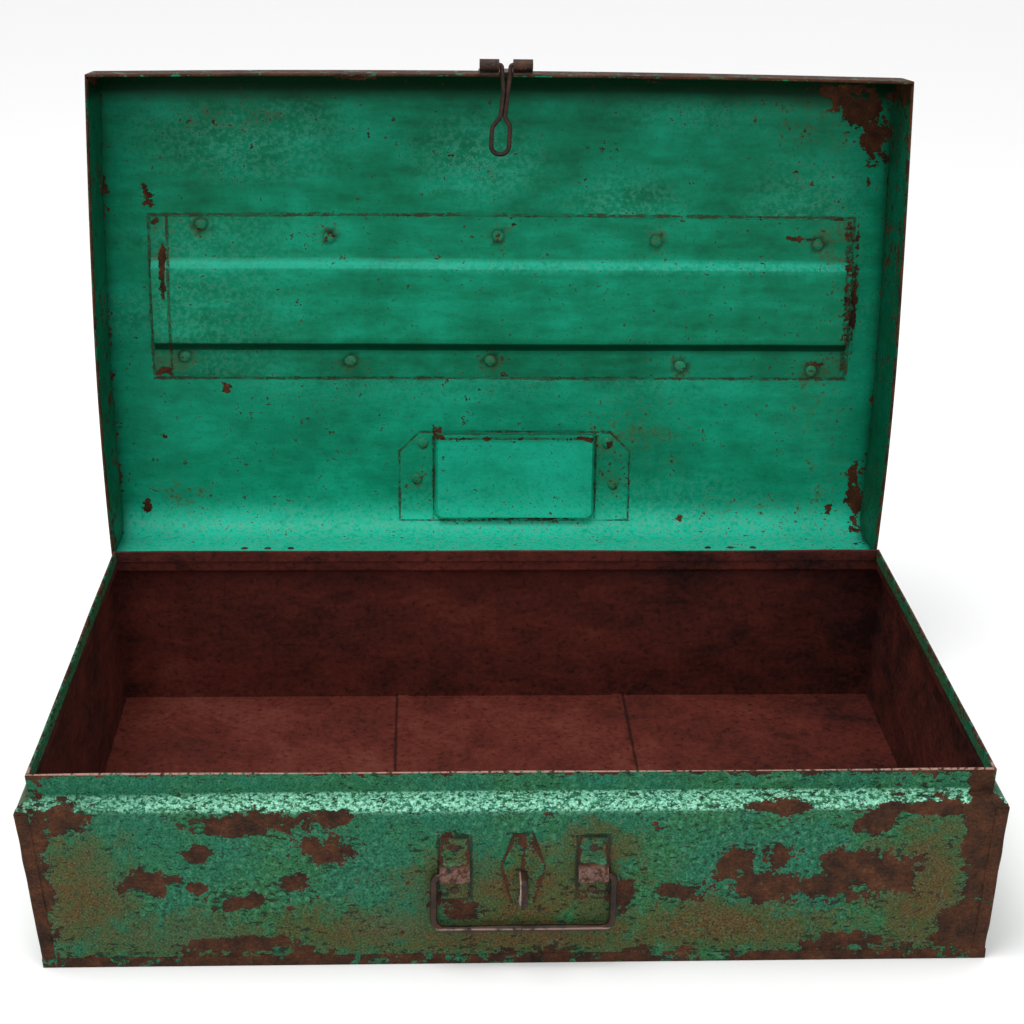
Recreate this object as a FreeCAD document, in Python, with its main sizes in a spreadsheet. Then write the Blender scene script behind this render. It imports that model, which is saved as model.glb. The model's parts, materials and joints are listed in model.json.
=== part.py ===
import FreeCAD, Part
import math
import os
import re

import Sketcher

# A pressed-steel trunk toolbox: an open body with a shouldered lip, a hinged lid that
# leans back on its stop, a wire hasp and a drop handle.
# X runs along the width, +Y to the hinge side, +Z up; the origin is under the floor's centre.
# The lid's pieces are drawn closed and then swung open about the hinge line.

os.makedirs("parts", exist_ok=True)
doc = FreeCAD.newDocument("Toolbox")
sizes = doc.addObject("Spreadsheet::Sheet", "sizes")

driving = {
    # body
    "body_width": 560,
    "body_depth": 343,
    "shoulder": 108,
    "lip_top": 124,
    "lip_inset_end": 7.75,
    "lip_inset_front": 9.5,
    "shoulder_bend": 5,
    "wall": 0.8,
    "hem": 8,
    "strip_tall": 6.5,
    "corner_leg": 8,
    "flare_left": 10.4,
    "flare_right": 4.6,
    "floor_seam_left": -68.5,
    "floor_seam_right": 85,
    "floor_lap": 8,
    # lid, drawn closed
    "lid_width": 573,
    "lid_middle": -2.5,
    "lid_front": -175,
    "lid_back": 171.5,
    "lid_tall": 62.8,
    "lid_gap": 0.4,
    "lid_front_bend": 25,
    "lid_back_bend": 20,
    "lid_hem": 7,
    "lid_open": 96,
    # hinges
    "hinge_line_y": 175,
    "hinge_line_z": 109.5,
    "hinge_place": 172,
    "hinge_long": 50,
    "hinge_barrel": 2.9,
    "hinge_pin": 1.5,
    "hinge_leaf": 1.4,
    "hinge_leaf_tall": 26,
    "hinge_knuckle": 24,
    "hinge_play": 0.5,
    "hinge_leaf_gap": 1.5,
    "hinge_arm_lap": 2,
    "hinge_rivet_pitch": 17,
    "pin_end": 1,
    # lid channel
    "channel_middle": 2,
    "channel_long": 516,
    "channel_rise": 5.5,
    "channel_back": 51,
    "channel_step_back": 29.5,
    "channel_step_run": 5,
    "channel_slope_top": -31.5,
    "channel_slope_foot": -39,
    "channel_front": -70,
    # lid pocket
    "pocket_left": -49,
    "pocket_right": 73,
    "pocket_mouth": 96.5,
    "pocket_foot": 160.5,
    "pocket_rise": 8,
    "pocket_corner": 6,
    "pocket_ear": 25.5,
    "pocket_ear_top": 93,
    "pocket_ear_cut": 15,
    # hasp
    "hasp_line_y": -181.5,
    "hasp_line_z": 103.4,
    "hasp_wire": 1.6,
    "hasp_barrel": 4,
    "hasp_outer": 18.2,
    "hasp_inner": 4.8,
    "hasp_leaf": 1.4,
    "hasp_leaf_tall": 40,
    "hasp_web": 1.4,
    "hasp_rivet_up": 25,
    "hasp_rivet_side": 10,
    "hasp_wire_end": 1,
    "hasp_neck": 16.5,
    "hasp_neck_half": 1.52,
    "hasp_ring_top": 36,
    "hasp_ring_shoulder": 42,
    "hasp_ring_half": 6.2,
    "hasp_ring_end": 55.2,
    # staple
    "fitting_middle": 1.5,
    "staple_foot": 46,
    "staple_head": 64.5,
    "staple_out": 15.3,
    "staple_thick": 2.5,
    "staple_wide": 5,
    "staple_bend": 1,
    "plate_thick": 1.2,
    "plate_foot": 42,
    "plate_middle": 65,
    "plate_head": 89,
    "plate_half_foot": 7,
    "plate_half_middle": 13.6,
    "plate_half_head": 6.6,
    # handle
    "handle_middle": 1.9,
    "handle_line_z": 62.5,
    "handle_line_out": 4,
    "handle_wire": 2.2,
    "handle_half": 52.5,
    "handle_drop": 35.9,
    "handle_top_bend": 3,
    "handle_foot_bend": 7,
    "bracket_place": 40.3,
    "bracket_wide": 17.5,
    "bracket_up": 24,
    "bracket_down": 17,
    "bracket_thick": 1.2,
    "bracket_out": 8,
    "bracket_hump_top": 9.6,
    "bracket_top_bend": 2.5,
    "bracket_low_bend": 3.4,
    "bracket_rivet_top": 17,
    "bracket_rivet_low": 11,
    # fits and fasteners
    "running_play": 0.08,
    "fixed_play": 0.02,
    "rivet_ball": 6,
    "rivet_cut": 45,
    "small_rivet_ball": 3.6,
}
for row, (alias, number) in enumerate(driving.items(), 1):
    sizes.set(f"A{row}", alias)
    sizes.set(f"B{row}", str(number))
    sizes.setAlias(f"B{row}", alias)
doc.recompute()

pieces = []


def bind(thing, prop, text):
    """Ties a property to an expression written in the sheet's own words."""
    words = re.sub(r"\b(?!sin\b|cos\b|sqrt\b)[a-z][a-z_]+", r"sizes.\g<0>", str(text))
    thing.setExpression(prop, words)


def value(text):
    return float(sizes.evalExpression(str(text)))


def place(thing, x=0, y=0, z=0, turn=None):
    """Puts a thing at an expression-bound point; turn is (axis, degrees)."""
    if turn:
        thing.Placement.Rotation = FreeCAD.Rotation(FreeCAD.Vector(*turn[0]), turn[1])
    for letter, text in zip("xyz", (x, y, z)):
        bind(thing, f"Placement.Base.{letter}", text)
    return thing


def piece(thing, name):
    thing.Label = name
    pieces.append(thing)
    return thing


# Where a point drawn with the lid closed goes once the lid is open
def swung(y, z):
    past, above = f"(({y}) - hinge_line_y)", f"(({z}) - hinge_line_z)"
    y_out = f"hinge_line_y + {past} * cos(lid_open) + {above} * sin(lid_open)"
    z_out = f"hinge_line_z - {past} * sin(lid_open) + {above} * cos(lid_open)"
    return y_out, z_out


def lid_piece(thing, name):
    y, z = swung("0", "0")
    place(thing, 0, y, z, turn=((-1, 0, 0), value("lid_open")))
    return piece(thing, name)


# Sketches, pads and pockets


def new_body(name):
    return doc.addObject("PartDesign::Body", name)


def outline(body, role, corners, offset=0):
    """A closed outline on an origin plane; a corner is (across, up) or (across, up, bend)."""
    sketch = body.newObject("Sketcher::SketchObject", "outline")
    plane = next(p for p in body.Origin.OriginFeatures if p.Role == role)
    sketch.AttachmentSupport = [(plane, "")]
    sketch.MapMode = "FlatFace"
    bind(sketch, "AttachmentOffset.Base.z", offset)
    spots = [FreeCAD.Vector(value(corner[0]), value(corner[1]), 0) for corner in corners]
    count = len(corners)
    starts, ends, arcs = [], [], {}
    for i, (corner, spot) in enumerate(zip(corners, spots)):
        before = (spots[i - 1] - spot).normalize()
        after = (spots[(i + 1) % count] - spot).normalize()
        reach = 0
        if len(corner) > 2:
            half = before.getAngle(after) / 2
            reach = value(corner[2]) / math.tan(half)
            inward = (before + after).normalize()
            nearest = value(corner[2]) / math.sin(half) - value(corner[2])
            arcs[i] = Part.Arc(spot + before * reach, spot + inward * nearest, spot + after * reach)
        ends.append(spot + before * reach)
        starts.append(spot + after * reach)
    for i in range(count):
        sketch.addGeometry(Part.LineSegment(starts[i], ends[(i + 1) % count]))
    for i, corner in enumerate(corners):
        coming, going = (i - 1) % count, i
        held = (going, 1)
        if i in arcs:
            bend = sketch.addGeometry(arcs[i])
            near, far = (1, 2) if sketch.getPoint(bend, 1).isEqual(ends[i], 1e-5) else (2, 1)
            sketch.addConstraint(Sketcher.Constraint("Tangent", coming, 2, bend, near))
            sketch.addConstraint(Sketcher.Constraint("Tangent", going, 1, bend, far))
            number = sketch.addConstraint(Sketcher.Constraint("Radius", bend, value(corner[2])))
            bind(sketch, f"Constraints[{number}]", corner[2])
            mark = sketch.addGeometry(Part.Point(spots[i]), True)
            sketch.addConstraint(Sketcher.Constraint("PointOnObject", mark, 1, coming))
            sketch.addConstraint(Sketcher.Constraint("PointOnObject", mark, 1, going))
            held = (mark, 1)
        else:
            sketch.addConstraint(Sketcher.Constraint("Coincident", coming, 2, going, 1))
        for kind, text in (("DistanceX", corner[0]), ("DistanceY", corner[1])):
            number = sketch.addConstraint(Sketcher.Constraint(kind, *held, value(text)))
            bind(sketch, f"Constraints[{number}]", text)
    return sketch


def pad(body, sketch, length, both_ways=False, backwards=False):
    feature = body.newObject("PartDesign::Pad", "pad")
    feature.Profile = sketch
    feature.SideType = "Symmetric" if both_ways else "One side"
    feature.Reversed = backwards
    bind(feature, "Length", length)
    body.Tip = feature
    return feature


def pocket(body, sketch, length=None, backwards=False):
    """Cuts right through both ways unless a length is given."""
    feature = body.newObject("PartDesign::Pocket", "pocket")
    feature.Profile = sketch
    feature.Reversed = backwards
    if length is None:
        feature.Type = "ThroughAll"
        feature.SideType = "Symmetric"
    else:
        bind(feature, "Length", length)
    body.Tip = feature
    return feature


# Primitives


def box(size, x=0, y=0, z=0):
    thing = doc.addObject("Part::Box", "block")
    for side, text in zip(("Length", "Width", "Height"), size):
        bind(thing, side, text)
    return place(thing, x, y, z)


def rod(radius, start, end):
    """A round bar between two expression points."""
    thing = doc.addObject("Part::Cylinder", "rod")
    bind(thing, "Radius", radius)
    spans = [f"({b}) - ({a})" for a, b in zip(start, end)]
    bind(thing, "Height", "sqrt(" + " + ".join(f"({span})^2" for span in spans) + ")")
    heading = FreeCAD.Vector(*(value(span) for span in spans))
    turn = FreeCAD.Rotation(FreeCAD.Vector(0, 0, 1), heading)
    return place(thing, *start, turn=(tuple(turn.Axis), math.degrees(turn.Angle)))


def ball(radius, spot):
    thing = doc.addObject("Part::Sphere", "ball")
    bind(thing, "Radius", radius)
    return place(thing, *spot)


def elbow(bend, wire, centre, turns):
    """A quarter ring of wire, lying in XZ after its turns about +Y."""
    thing = doc.addObject("Part::Torus", "elbow")
    bind(thing, "Radius1", bend)
    bind(thing, "Radius2", wire)
    thing.Angle3 = 90
    place(thing, *centre)
    flat = FreeCAD.Rotation(FreeCAD.Vector(1, 0, 0), 90)
    thing.Placement.Rotation = FreeCAD.Rotation(FreeCAD.Vector(0, 1, 0), -90 * turns) * flat
    return thing


def fuse(parts):
    thing = doc.addObject("Part::MultiFuse", "fuse")
    thing.Shapes = parts
    return thing


def cut(base, tool):
    thing = doc.addObject("Part::Cut", "cut")
    thing.Base = base
    thing.Tool = tool
    return thing


def group(parts):
    thing = doc.addObject("Part::Compound", "group")
    thing.Links = parts
    return thing


# A domed head whose flat side lies on a face; way is the direction that it stands out
def rivet_head(spot, way, size="rivet_ball"):
    thing = doc.addObject("Part::Sphere", "head")
    bind(thing, "Radius", size)
    bind(thing, "Angle1", "rivet_cut")
    sunk = f"{size} * sin(rivet_cut)"
    base = [f"({text}) - ({step}) * {sunk}" if step else text for text, step in zip(spot, way)]
    turn = FreeCAD.Rotation(FreeCAD.Vector(0, 0, 1), FreeCAD.Vector(*way))
    return place(thing, *base, turn=(tuple(turn.Axis), math.degrees(turn.Angle)))


# Body walls: a wall, a rounded shoulder, an upright lip and its folded hem

face_end = "(body_width / 2 - wall)"
face_front = "(body_depth / 2 - wall)"
flare = {-1: "(flare_left / shoulder)", 1: "(flare_right / shoulder)"}


def wall_corners(face, inset, side, lean="0"):
    """A wall's section; lean is how far out it goes for each mm up."""
    steps = [
        (0, "0"),
        (0, "shoulder", "shoulder_bend"),
        (inset, "shoulder"),
        (inset, "lip_top"),
        (f"{inset} + 2 * wall", "lip_top"),
        (f"{inset} + 2 * wall", "lip_top - hem"),
        (f"{inset} + wall", "lip_top - hem"),
        (f"{inset} + wall", "shoulder - wall"),
        ("wall", "shoulder - wall", "shoulder_bend - wall"),
        ("wall", "0"),
    ]
    return [(f"{side} * ({face} - ({out}) + {lean} * ({up}))", up, *bend) for out, up, *bend in steps]


# The mitre runs from the outer corner through the lip's corner and leans out with the end wall
def mitre(body, x_side, y_side, keep_end):
    reach_end = "3 * lip_inset_end"
    reach_front = "3 * lip_inset_front"
    corner = (f"{x_side} * {face_end}", f"{y_side} * {face_front}")
    inner = (f"{x_side} * ({face_end} - {reach_end})", f"{y_side} * ({face_front} - {reach_front})")
    past = f"{x_side} * (body_width / 2 + lip_top)"
    rest = [(inner[0], corner[1])] if keep_end else [(past, inner[1]), (past, corner[1])]
    leaning(pocket(body, outline(body, "XY_Plane", [corner, inner] + rest)), x_side)


def leaning(feature, x_side):
    """Slants a pad or pocket drawn on XY so that it follows the end wall's lean."""
    feature.UseCustomVector = True
    feature.Direction = FreeCAD.Vector(x_side * value(flare[x_side]), 0, 1)
    feature.AlongSketchNormal = True


def long_panel(name, side):
    body = new_body(name)
    corners = wall_corners(face_front, "lip_inset_front", side)
    pad(body, outline(body, "YZ_Plane", corners), "body_width + 4 * flare_left", both_ways=True)
    for x_side in (-1, 1):
        mitre(body, x_side, side, keep_end=False)
    piece(body, name)


def end_panel(name, side):
    body = new_body(name)
    corners = wall_corners(face_end, "lip_inset_end", side, flare[side])
    pad(body, outline(body, "XZ_Plane", corners), f"2 * {face_front}", both_ways=True)
    for y_side in (-1, 1):
        mitre(body, side, y_side, keep_end=True)
    piece(body, name)


def floor_sheet(name, left, right, lapped):
    """The middle sheet laps over its neighbours in a low step."""
    body = new_body(name)
    corners = [(left, "0"), (right, "0"), (right, "wall"), (left, "wall")]
    if lapped:
        corners = [
            (left, "0"),
            (right, "0"),
            (right, "wall"),
            (f"{right} + floor_lap", "wall"),
            (f"{right} + floor_lap", "2 * wall"),
            (f"{left} - floor_lap", "2 * wall"),
            (f"{left} - floor_lap", "wall"),
            (left, "wall"),
        ]
    pad(body, outline(body, "XZ_Plane", corners), f"2 * ({face_front} - wall)", both_ways=True)
    piece(body, name)


def bottom_strips():
    for side, name in ((-1, "front"), (1, "back")):
        y = f"{side} * body_depth / 2 - {(side + 1) // 2} * wall"
        piece(box(("body_width", "wall", "strip_tall"), "-body_width / 2", y), f"bottom_strip_{name}")
    for side, name in ((-1, "left"), (1, "right")):
        body = new_body(f"bottom_strip_{name}")
        steps = [("0", "0"), ("wall", "0"), ("wall", "strip_tall"), ("0", "strip_tall")]
        corners = [(f"{side} * ({face_end} + {out} + {flare[side]} * {up})", up) for out, up in steps]
        pad(body, outline(body, "XZ_Plane", corners), f"2 * {face_front}", both_ways=True)
        piece(body, f"bottom_strip_{name}")


def corner_strip(name, x_side, y_side):
    """An upright strip folded round a corner, outside both walls."""
    body = new_body(name)
    x = (x_side, f"body_width / 2 + {flare[x_side]} * strip_tall")
    y = (y_side, "body_depth / 2")
    steps = [("0", "0"), ("corner_leg", "0"), ("corner_leg", "wall")]
    steps += [("wall", "wall"), ("wall", "corner_leg"), ("0", "corner_leg")]
    corners = [(f"{x[0]} * ({x[1]} - {a})", f"{y[0]} * ({y[1]} - {b})") for a, b in steps]
    section = outline(body, "XY_Plane", corners, "strip_tall")
    leaning(pad(body, section, "shoulder - shoulder_bend - strip_tall"), x_side)
    piece(body, name)


long_panel("front_panel", -1)
long_panel("back_panel", 1)
end_panel("left_end_panel", -1)
end_panel("right_end_panel", 1)
inner_end = f"({face_end} - wall)"
floor_sheet("floor_left", f"-{inner_end}", "floor_seam_left", lapped=False)
floor_sheet("floor_middle", "floor_seam_left", "floor_seam_right", lapped=True)
floor_sheet("floor_right", "floor_seam_right", inner_end, lapped=False)
bottom_strips()
for x_side, x_name in ((-1, "left"), (1, "right")):
    for y_side, y_name in ((-1, "front"), (1, "back")):
        corner_strip(f"corner_strip_{y_name}_{x_name}", x_side, y_side)

# Lid, drawn closed with its rim just above the shoulder

rim = "(shoulder + lid_gap)"
crown = "(shoulder + lid_gap + lid_tall)"
ceiling = "(shoulder + lid_gap + lid_tall - wall)"


def lid_skin():
    body = new_body("lid_skin")
    front, back = "lid_front", "lid_back"
    corners = [
        (front, rim),
        (front, crown, "lid_front_bend"),
        (back, crown, "lid_back_bend"),
        (back, rim),
        (f"{back} - 2 * wall", rim),
        (f"{back} - 2 * wall", f"{rim} + lid_hem"),
        (f"{back} - wall", f"{rim} + lid_hem"),
        (f"{back} - wall", ceiling, "lid_back_bend - wall"),
        (f"{front} + wall", ceiling, "lid_front_bend - wall"),
        (f"{front} + wall", f"{rim} + lid_hem"),
        (f"{front} + 2 * wall", f"{rim} + lid_hem"),
        (f"{front} + 2 * wall", rim),
    ]
    pad(body, outline(body, "YZ_Plane", corners, "lid_middle"), "lid_width - 2 * wall", both_ways=True)
    lid_piece(body, "lid_skin")


def lid_end(name, side):
    """A flat end plate with a folded hem along its rim."""
    body = new_body(name)
    outer = f"(lid_width / 2 + {side} * lid_middle)"
    corners = [
        ("lid_front", rim),
        ("lid_front", crown, "lid_front_bend"),
        ("lid_back", crown, "lid_back_bend"),
        ("lid_back", rim),
    ]
    sheet = outline(body, "YZ_Plane", corners, f"{side} * {outer}")
    pad(body, sheet, "wall", backwards=side > 0)
    fold = [
        ("lid_front + 2 * wall", rim),
        ("lid_front + 2 * wall", f"{rim} + lid_hem"),
        ("lid_back - 2 * wall", f"{rim} + lid_hem"),
        ("lid_back - 2 * wall", rim),
    ]
    hem = outline(body, "YZ_Plane", fold, f"{side} * ({outer} - wall)")
    pad(body, hem, "wall", backwards=side > 0)
    lid_piece(body, name)


def lid_channel():
    """A long raised band between two riveted flanges, under the lid's ceiling."""
    body = new_body("lid_channel")
    low = f"{ceiling} - channel_rise"
    step_foot = "channel_step_back"
    step_top = "(channel_step_back - channel_step_run)"
    corners = [
        ("channel_back", ceiling),
        ("channel_back", f"{ceiling} - wall"),
        (step_foot, f"{ceiling} - wall"),
        (step_top, f"{low} - wall"),
        ("channel_slope_top", f"{low} - wall"),
        ("channel_slope_foot", f"{ceiling} - wall"),
        ("channel_front", f"{ceiling} - wall"),
        ("channel_front", ceiling),
        ("channel_slope_foot + wall / 2", ceiling),
        ("channel_slope_top + wall / 2", low),
        (f"{step_top} - wall / 2", low),
        (f"{step_foot} - wall / 2", ceiling),
    ]
    flat = outline(body, "YZ_Plane", corners, "channel_middle")
    pad(body, flat, "channel_long", both_ways=True)
    lid_piece(body, "lid_channel")


def lid_pocket():
    """A shallow tray open at its mouth, with a riveted ear on each side."""
    body = new_body("lid_pocket")
    front = "pocket_mouth"
    outer = [
        ("pocket_left", front),
        ("pocket_left", "pocket_foot", "pocket_corner"),
        ("pocket_right", "pocket_foot", "pocket_corner"),
        ("pocket_right", front),
    ]
    pad(body, outline(body, "XY_Plane", outer, ceiling), "pocket_rise", backwards=True)
    ears = [
        ("pocket_left - pocket_ear", "pocket_foot"),
        ("pocket_left - pocket_ear", "pocket_ear_top + pocket_ear_cut"),
        ("pocket_left - pocket_ear + pocket_ear_cut", "pocket_ear_top"),
        ("pocket_right + pocket_ear - pocket_ear_cut", "pocket_ear_top"),
        ("pocket_right + pocket_ear", "pocket_ear_top + pocket_ear_cut"),
        ("pocket_right + pocket_ear", "pocket_foot"),
    ]
    pad(body, outline(body, "XY_Plane", ears, ceiling), "wall", backwards=True)
    inner = [
        ("pocket_left + wall", f"{front} - pocket_ear"),
        ("pocket_left + wall", "pocket_foot - wall", "pocket_corner - wall"),
        ("pocket_right - wall", "pocket_foot - wall", "pocket_corner - wall"),
        ("pocket_right - wall", f"{front} - pocket_ear"),
    ]
    hollow = outline(body, "XY_Plane", inner, ceiling)
    pocket(body, hollow, "pocket_rise - wall")
    bend_start, past = "(lid_back - lid_back_bend - wall)", "(lid_back + wall)"
    outside = [
        (bend_start, ceiling),
        ("lid_back - wall", ceiling, "lid_back_bend - wall"),
        ("lid_back - wall", f"{rim} + lid_tall / 2"),
        (past, f"{rim} + lid_tall / 2"),
        (past, crown),
        (bend_start, crown),
    ]
    pocket(body, outline(body, "YZ_Plane", outside))
    lid_piece(body, "lid_pocket")


lid_skin()
lid_end("lid_left_end", -1)
lid_end("lid_right_end", 1)
lid_channel()
lid_pocket()

# Rivet heads on the lid's inner face, each row nearly even as hand work leaves it

flange_face = f"{ceiling} - wall"
front_row = ((-218, -63.5), (-125, -54), (-2, -55.5), (114, -52.5), (234, -51))
back_row = ((-233, 35), (-111, 38), (-7, 37.5), (135, 41.5), (234, 45))
heads = [rivet_head((str(x), str(y), flange_face), (0, 0, -1)) for x, y in front_row + back_row]
lid_piece(group(heads), "channel_rivets")
ear_spots = ((-61.8, 129), (86.8, 133), (-57, 101), (82, 101))
heads = [rivet_head((str(x), str(y), flange_face), (0, 0, -1)) for x, y in ear_spots]
lid_piece(group(heads), "pocket_rivets")

# Hinges: the body leaf holds the outer barrels and the pin, the lid leaf the middle barrel

line = ("hinge_line_y", "hinge_line_z")
bore_fixed = "hinge_pin + fixed_play"
bore_free = "hinge_pin + running_play"


def along(x, start, end):
    """Two points on the hinge line, either side of x."""
    return [(f"{x} + ({step})", *line) for step in (start, end)]


def hinge(name, side):
    x = f"({side} * hinge_place)"
    half = "hinge_long / 2"
    inner = "hinge_knuckle / 2 + hinge_play"
    plate_size = ("hinge_long", "hinge_leaf", "hinge_leaf_tall")
    # body side
    top = "(hinge_line_z - hinge_barrel - hinge_leaf_gap)"
    parts = [box(plate_size, f"{x} - {half}", face_front, f"{top} - hinge_leaf_tall")]
    for low, high in ((f"-{half}", f"-({inner})"), (inner, half)):
        arm_size = (f"{half} - ({inner})", "hinge_leaf", "hinge_barrel + hinge_leaf_gap + hinge_arm_lap")
        arm_spot = (f"{x} + ({low})", f"{face_front} + hinge_leaf", f"{top} - hinge_arm_lap")
        parts.append(box(arm_size, *arm_spot))
        parts.append(rod("hinge_barrel", *along(x, low, high)))
    through = rod(bore_fixed, *along(x, f"-{half}", half))
    piece(cut(fuse(parts), through), f"hinge_body_leaf_{name}")
    pin = rod("hinge_pin", *along(x, f"-{half} - pin_end", f"{half} + pin_end"))
    piece(pin, f"hinge_pin_{name}")
    # lid side
    plate = box(plate_size, f"{x} - {half}", "lid_back", "hinge_line_z + hinge_barrel + hinge_leaf_gap")
    arm_size = ("hinge_knuckle", "hinge_leaf", "hinge_barrel + 2 * hinge_arm_lap")
    arm_spot = (f"{x} - hinge_knuckle / 2", "lid_back + hinge_leaf / 2", "hinge_line_z + hinge_play")
    knuckle = along(x, "-hinge_knuckle / 2", "hinge_knuckle / 2")
    joined = fuse([plate, box(arm_size, *arm_spot), rod("hinge_barrel", *knuckle)])
    lid_piece(cut(joined, rod(bore_free, *knuckle)), f"hinge_lid_leaf_{name}")


body_heads, lid_heads = [], []
for side, name in ((-1, "left"), (1, "right")):
    hinge(name, side)
    for step in (-1, 0, 1):
        x = f"{side} * hinge_place + ({step}) * hinge_rivet_pitch"
        reach = "(hinge_barrel + hinge_leaf_gap + hinge_leaf_tall / 2)"
        body_spot = (x, f"{face_front} + hinge_leaf", f"hinge_line_z - {reach}")
        body_heads.append(rivet_head(body_spot, (0, 1, 0), "small_rivet_ball"))
        lid_high = f"hinge_line_z + {reach}"
        for y, way in (("lid_back + hinge_leaf", 1), ("lid_back - wall", -1)):
            lid_heads.append(rivet_head((x, y, lid_high), (0, way, 0), "small_rivet_ball"))
piece(group(body_heads), "hinge_body_rivets")
lid_piece(group(lid_heads), "hinge_lid_rivets")

# Hasp: a leaf on the lid's front with two rolled barrels, and a doubled wire that hangs in them

hasp_line = ("hasp_line_y", "hasp_line_z")


def hasp_leaf():
    low = "(hasp_line_z - hasp_barrel)"
    size = ("2 * hasp_outer", "hasp_leaf", f"hasp_leaf_tall + {rim} - {low}")
    parts = [box(size, "-hasp_outer", "lid_front - hasp_leaf", low)]
    notch_size = ("2 * hasp_inner", "lid_front - hasp_line_y + hasp_barrel", "2 * hasp_barrel + wall")
    notch = box(notch_size, "-hasp_inner", "hasp_line_y - hasp_barrel", low)
    bores = []
    for a, b in (("-hasp_outer", "-hasp_inner"), ("hasp_inner", "hasp_outer")):
        along = ((a, *hasp_line), (b, *hasp_line))
        parts.append(rod("hasp_barrel", *along))
        bores.append(rod("hasp_wire + running_play", *along))
        web = (f"({b}) - ({a})", "lid_front - hasp_line_y", "hasp_web")
        parts.append(box(web, a, "hasp_line_y", "hasp_line_z + hasp_barrel - hasp_web"))
    lid_piece(cut(fuse(parts), fuse(bores + [notch])), "hasp_leaf")


# The wire goes in at both barrels, closes to a doubled neck and opens to a long eye
def hasp_loop():
    wire = "hasp_wire"
    parts = []
    for side in (-1, 1):
        route = [
            (f"{side} * (hasp_outer - hasp_wire_end)", "0", "0"),
            (f"{side} * (hasp_inner - 1.2 * {wire})", "0", "0"),
            (f"{side} * hasp_neck_half", "0", "-hasp_neck"),
            (f"{side} * hasp_neck_half", "0", "-hasp_ring_top"),
            (f"{side} * hasp_ring_half", "0", "-hasp_ring_shoulder"),
            (f"{side} * hasp_ring_half", "0", "-hasp_ring_end"),
        ]
        parts += [rod(wire, a, b) for a, b in zip(route, route[1:])]
        parts += [ball(wire, spot) for spot in route[1:-1]]
        centre = ("0", "0", "-hasp_ring_end")
        parts.append(elbow("hasp_ring_half", wire, centre, 2 if side < 0 else 3))
    loop = fuse(parts)
    y, z = swung(*hasp_line)
    place(loop, 0, y, z)
    piece(loop, "hasp_loop")


hasp_leaf()
hasp_loop()
leaf_face = "lid_front - hasp_leaf"
hasp_rivet_z = f"{rim} + hasp_rivet_up"
heads = [rivet_head((f"{side} * hasp_rivet_side", leaf_face, hasp_rivet_z), (0, -1, 0)) for side in (-1, 1)]
lid_piece(group(heads), "hasp_rivets")

# Staple on the front: a pressed plate and a bowed bar that the hasp's eye drops over


def staple_plate():
    body = new_body("staple_plate")
    heights = (("plate_half_foot", "plate_foot"), ("plate_half_middle", "plate_middle"))
    heights += (("plate_half_head", "plate_head"),)
    right = [(f"fitting_middle + {half}", height) for half, height in heights]
    left = [(f"fitting_middle - {half}", height) for half, height in reversed(heights)]
    flat = outline(body, "XZ_Plane", right + left, face_front)
    pad(body, flat, "plate_thick")
    piece(body, "staple_plate")


def staple():
    body = new_body("staple")
    near, far = f"-({face_front} + plate_thick)", f"-({face_front} + staple_out)"
    corners = [
        (near, "staple_foot"),
        (far, "staple_foot", "staple_thick + staple_bend"),
        (far, "staple_head", "staple_thick + staple_bend"),
        (near, "staple_head"),
        (near, "staple_head - staple_thick"),
        (f"{far} + staple_thick", "staple_head - staple_thick", "staple_bend"),
        (f"{far} + staple_thick", "staple_foot + staple_thick", "staple_bend"),
        (near, "staple_foot + staple_thick"),
    ]
    flat = outline(body, "YZ_Plane", corners, "fitting_middle")
    pad(body, flat, "staple_wide", both_ways=True)
    piece(body, "staple")


staple_plate()
staple()

# Drop handle: two strap brackets and a bent wire bail


def handle_bracket(name, side):
    """A strap with a raised middle, bored for the bail's end."""
    body = new_body("strap")
    middle = f"handle_middle + {side} * bracket_place"
    steps = [
        ("0", "bracket_up"),
        ("bracket_thick", "bracket_up"),
        ("bracket_thick", "bracket_hump_top"),
        ("bracket_out", "handle_line_out", "bracket_top_bend"),
        ("bracket_out", "-handle_line_out", "bracket_low_bend"),
        ("bracket_thick", "-handle_line_out"),
        ("bracket_thick", "-bracket_down"),
        ("0", "-bracket_down"),
    ]
    corners = [(f"-({face_front} + {out})", f"handle_line_z + ({up})", *bend) for out, up, *bend in steps]
    pad(body, outline(body, "YZ_Plane", corners, middle), "bracket_wide", both_ways=True)
    line_y = f"-({face_front} + handle_line_out)"
    start = (f"{middle} - bracket_wide / 2 - pin_end", line_y, "handle_line_z")
    end = (f"{middle} + bracket_wide / 2 + pin_end", line_y, "handle_line_z")
    piece(cut(body, rod("handle_wire + running_play", start, end)), name)


def handle_bail():
    wire, half, drop = "handle_wire", "handle_half", "handle_drop"
    top, foot = "handle_top_bend", "handle_foot_bend"
    parts = [rod(wire, (f"-({half} - {foot})", "0", f"-{drop}"), (f"{half} - {foot}", "0", f"-{drop}"))]
    for side in (-1, 1):
        x = f"{side} * {half}"
        pin_start = f"{side} * ({half} - {top})"
        pin_tip = f"{side} * (bracket_place - bracket_wide / 2 + pin_end)"
        parts.append(rod(wire, (pin_start, "0", "0"), (pin_tip, "0", "0")))
        parts.append(rod(wire, (x, "0", f"-{top}"), (x, "0", f"-({drop} - {foot})")))
        parts.append(elbow(top, wire, (pin_start, "0", f"-{top}"), 0 if side > 0 else 1))
        foot_centre = (f"{side} * ({half} - {foot})", "0", f"-({drop} - {foot})")
        parts.append(elbow(foot, wire, foot_centre, 3 if side > 0 else 2))
    bail = fuse(parts)
    place(bail, "handle_middle", f"-({face_front} + handle_line_out)", "handle_line_z")
    piece(bail, "handle_bail")


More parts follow.
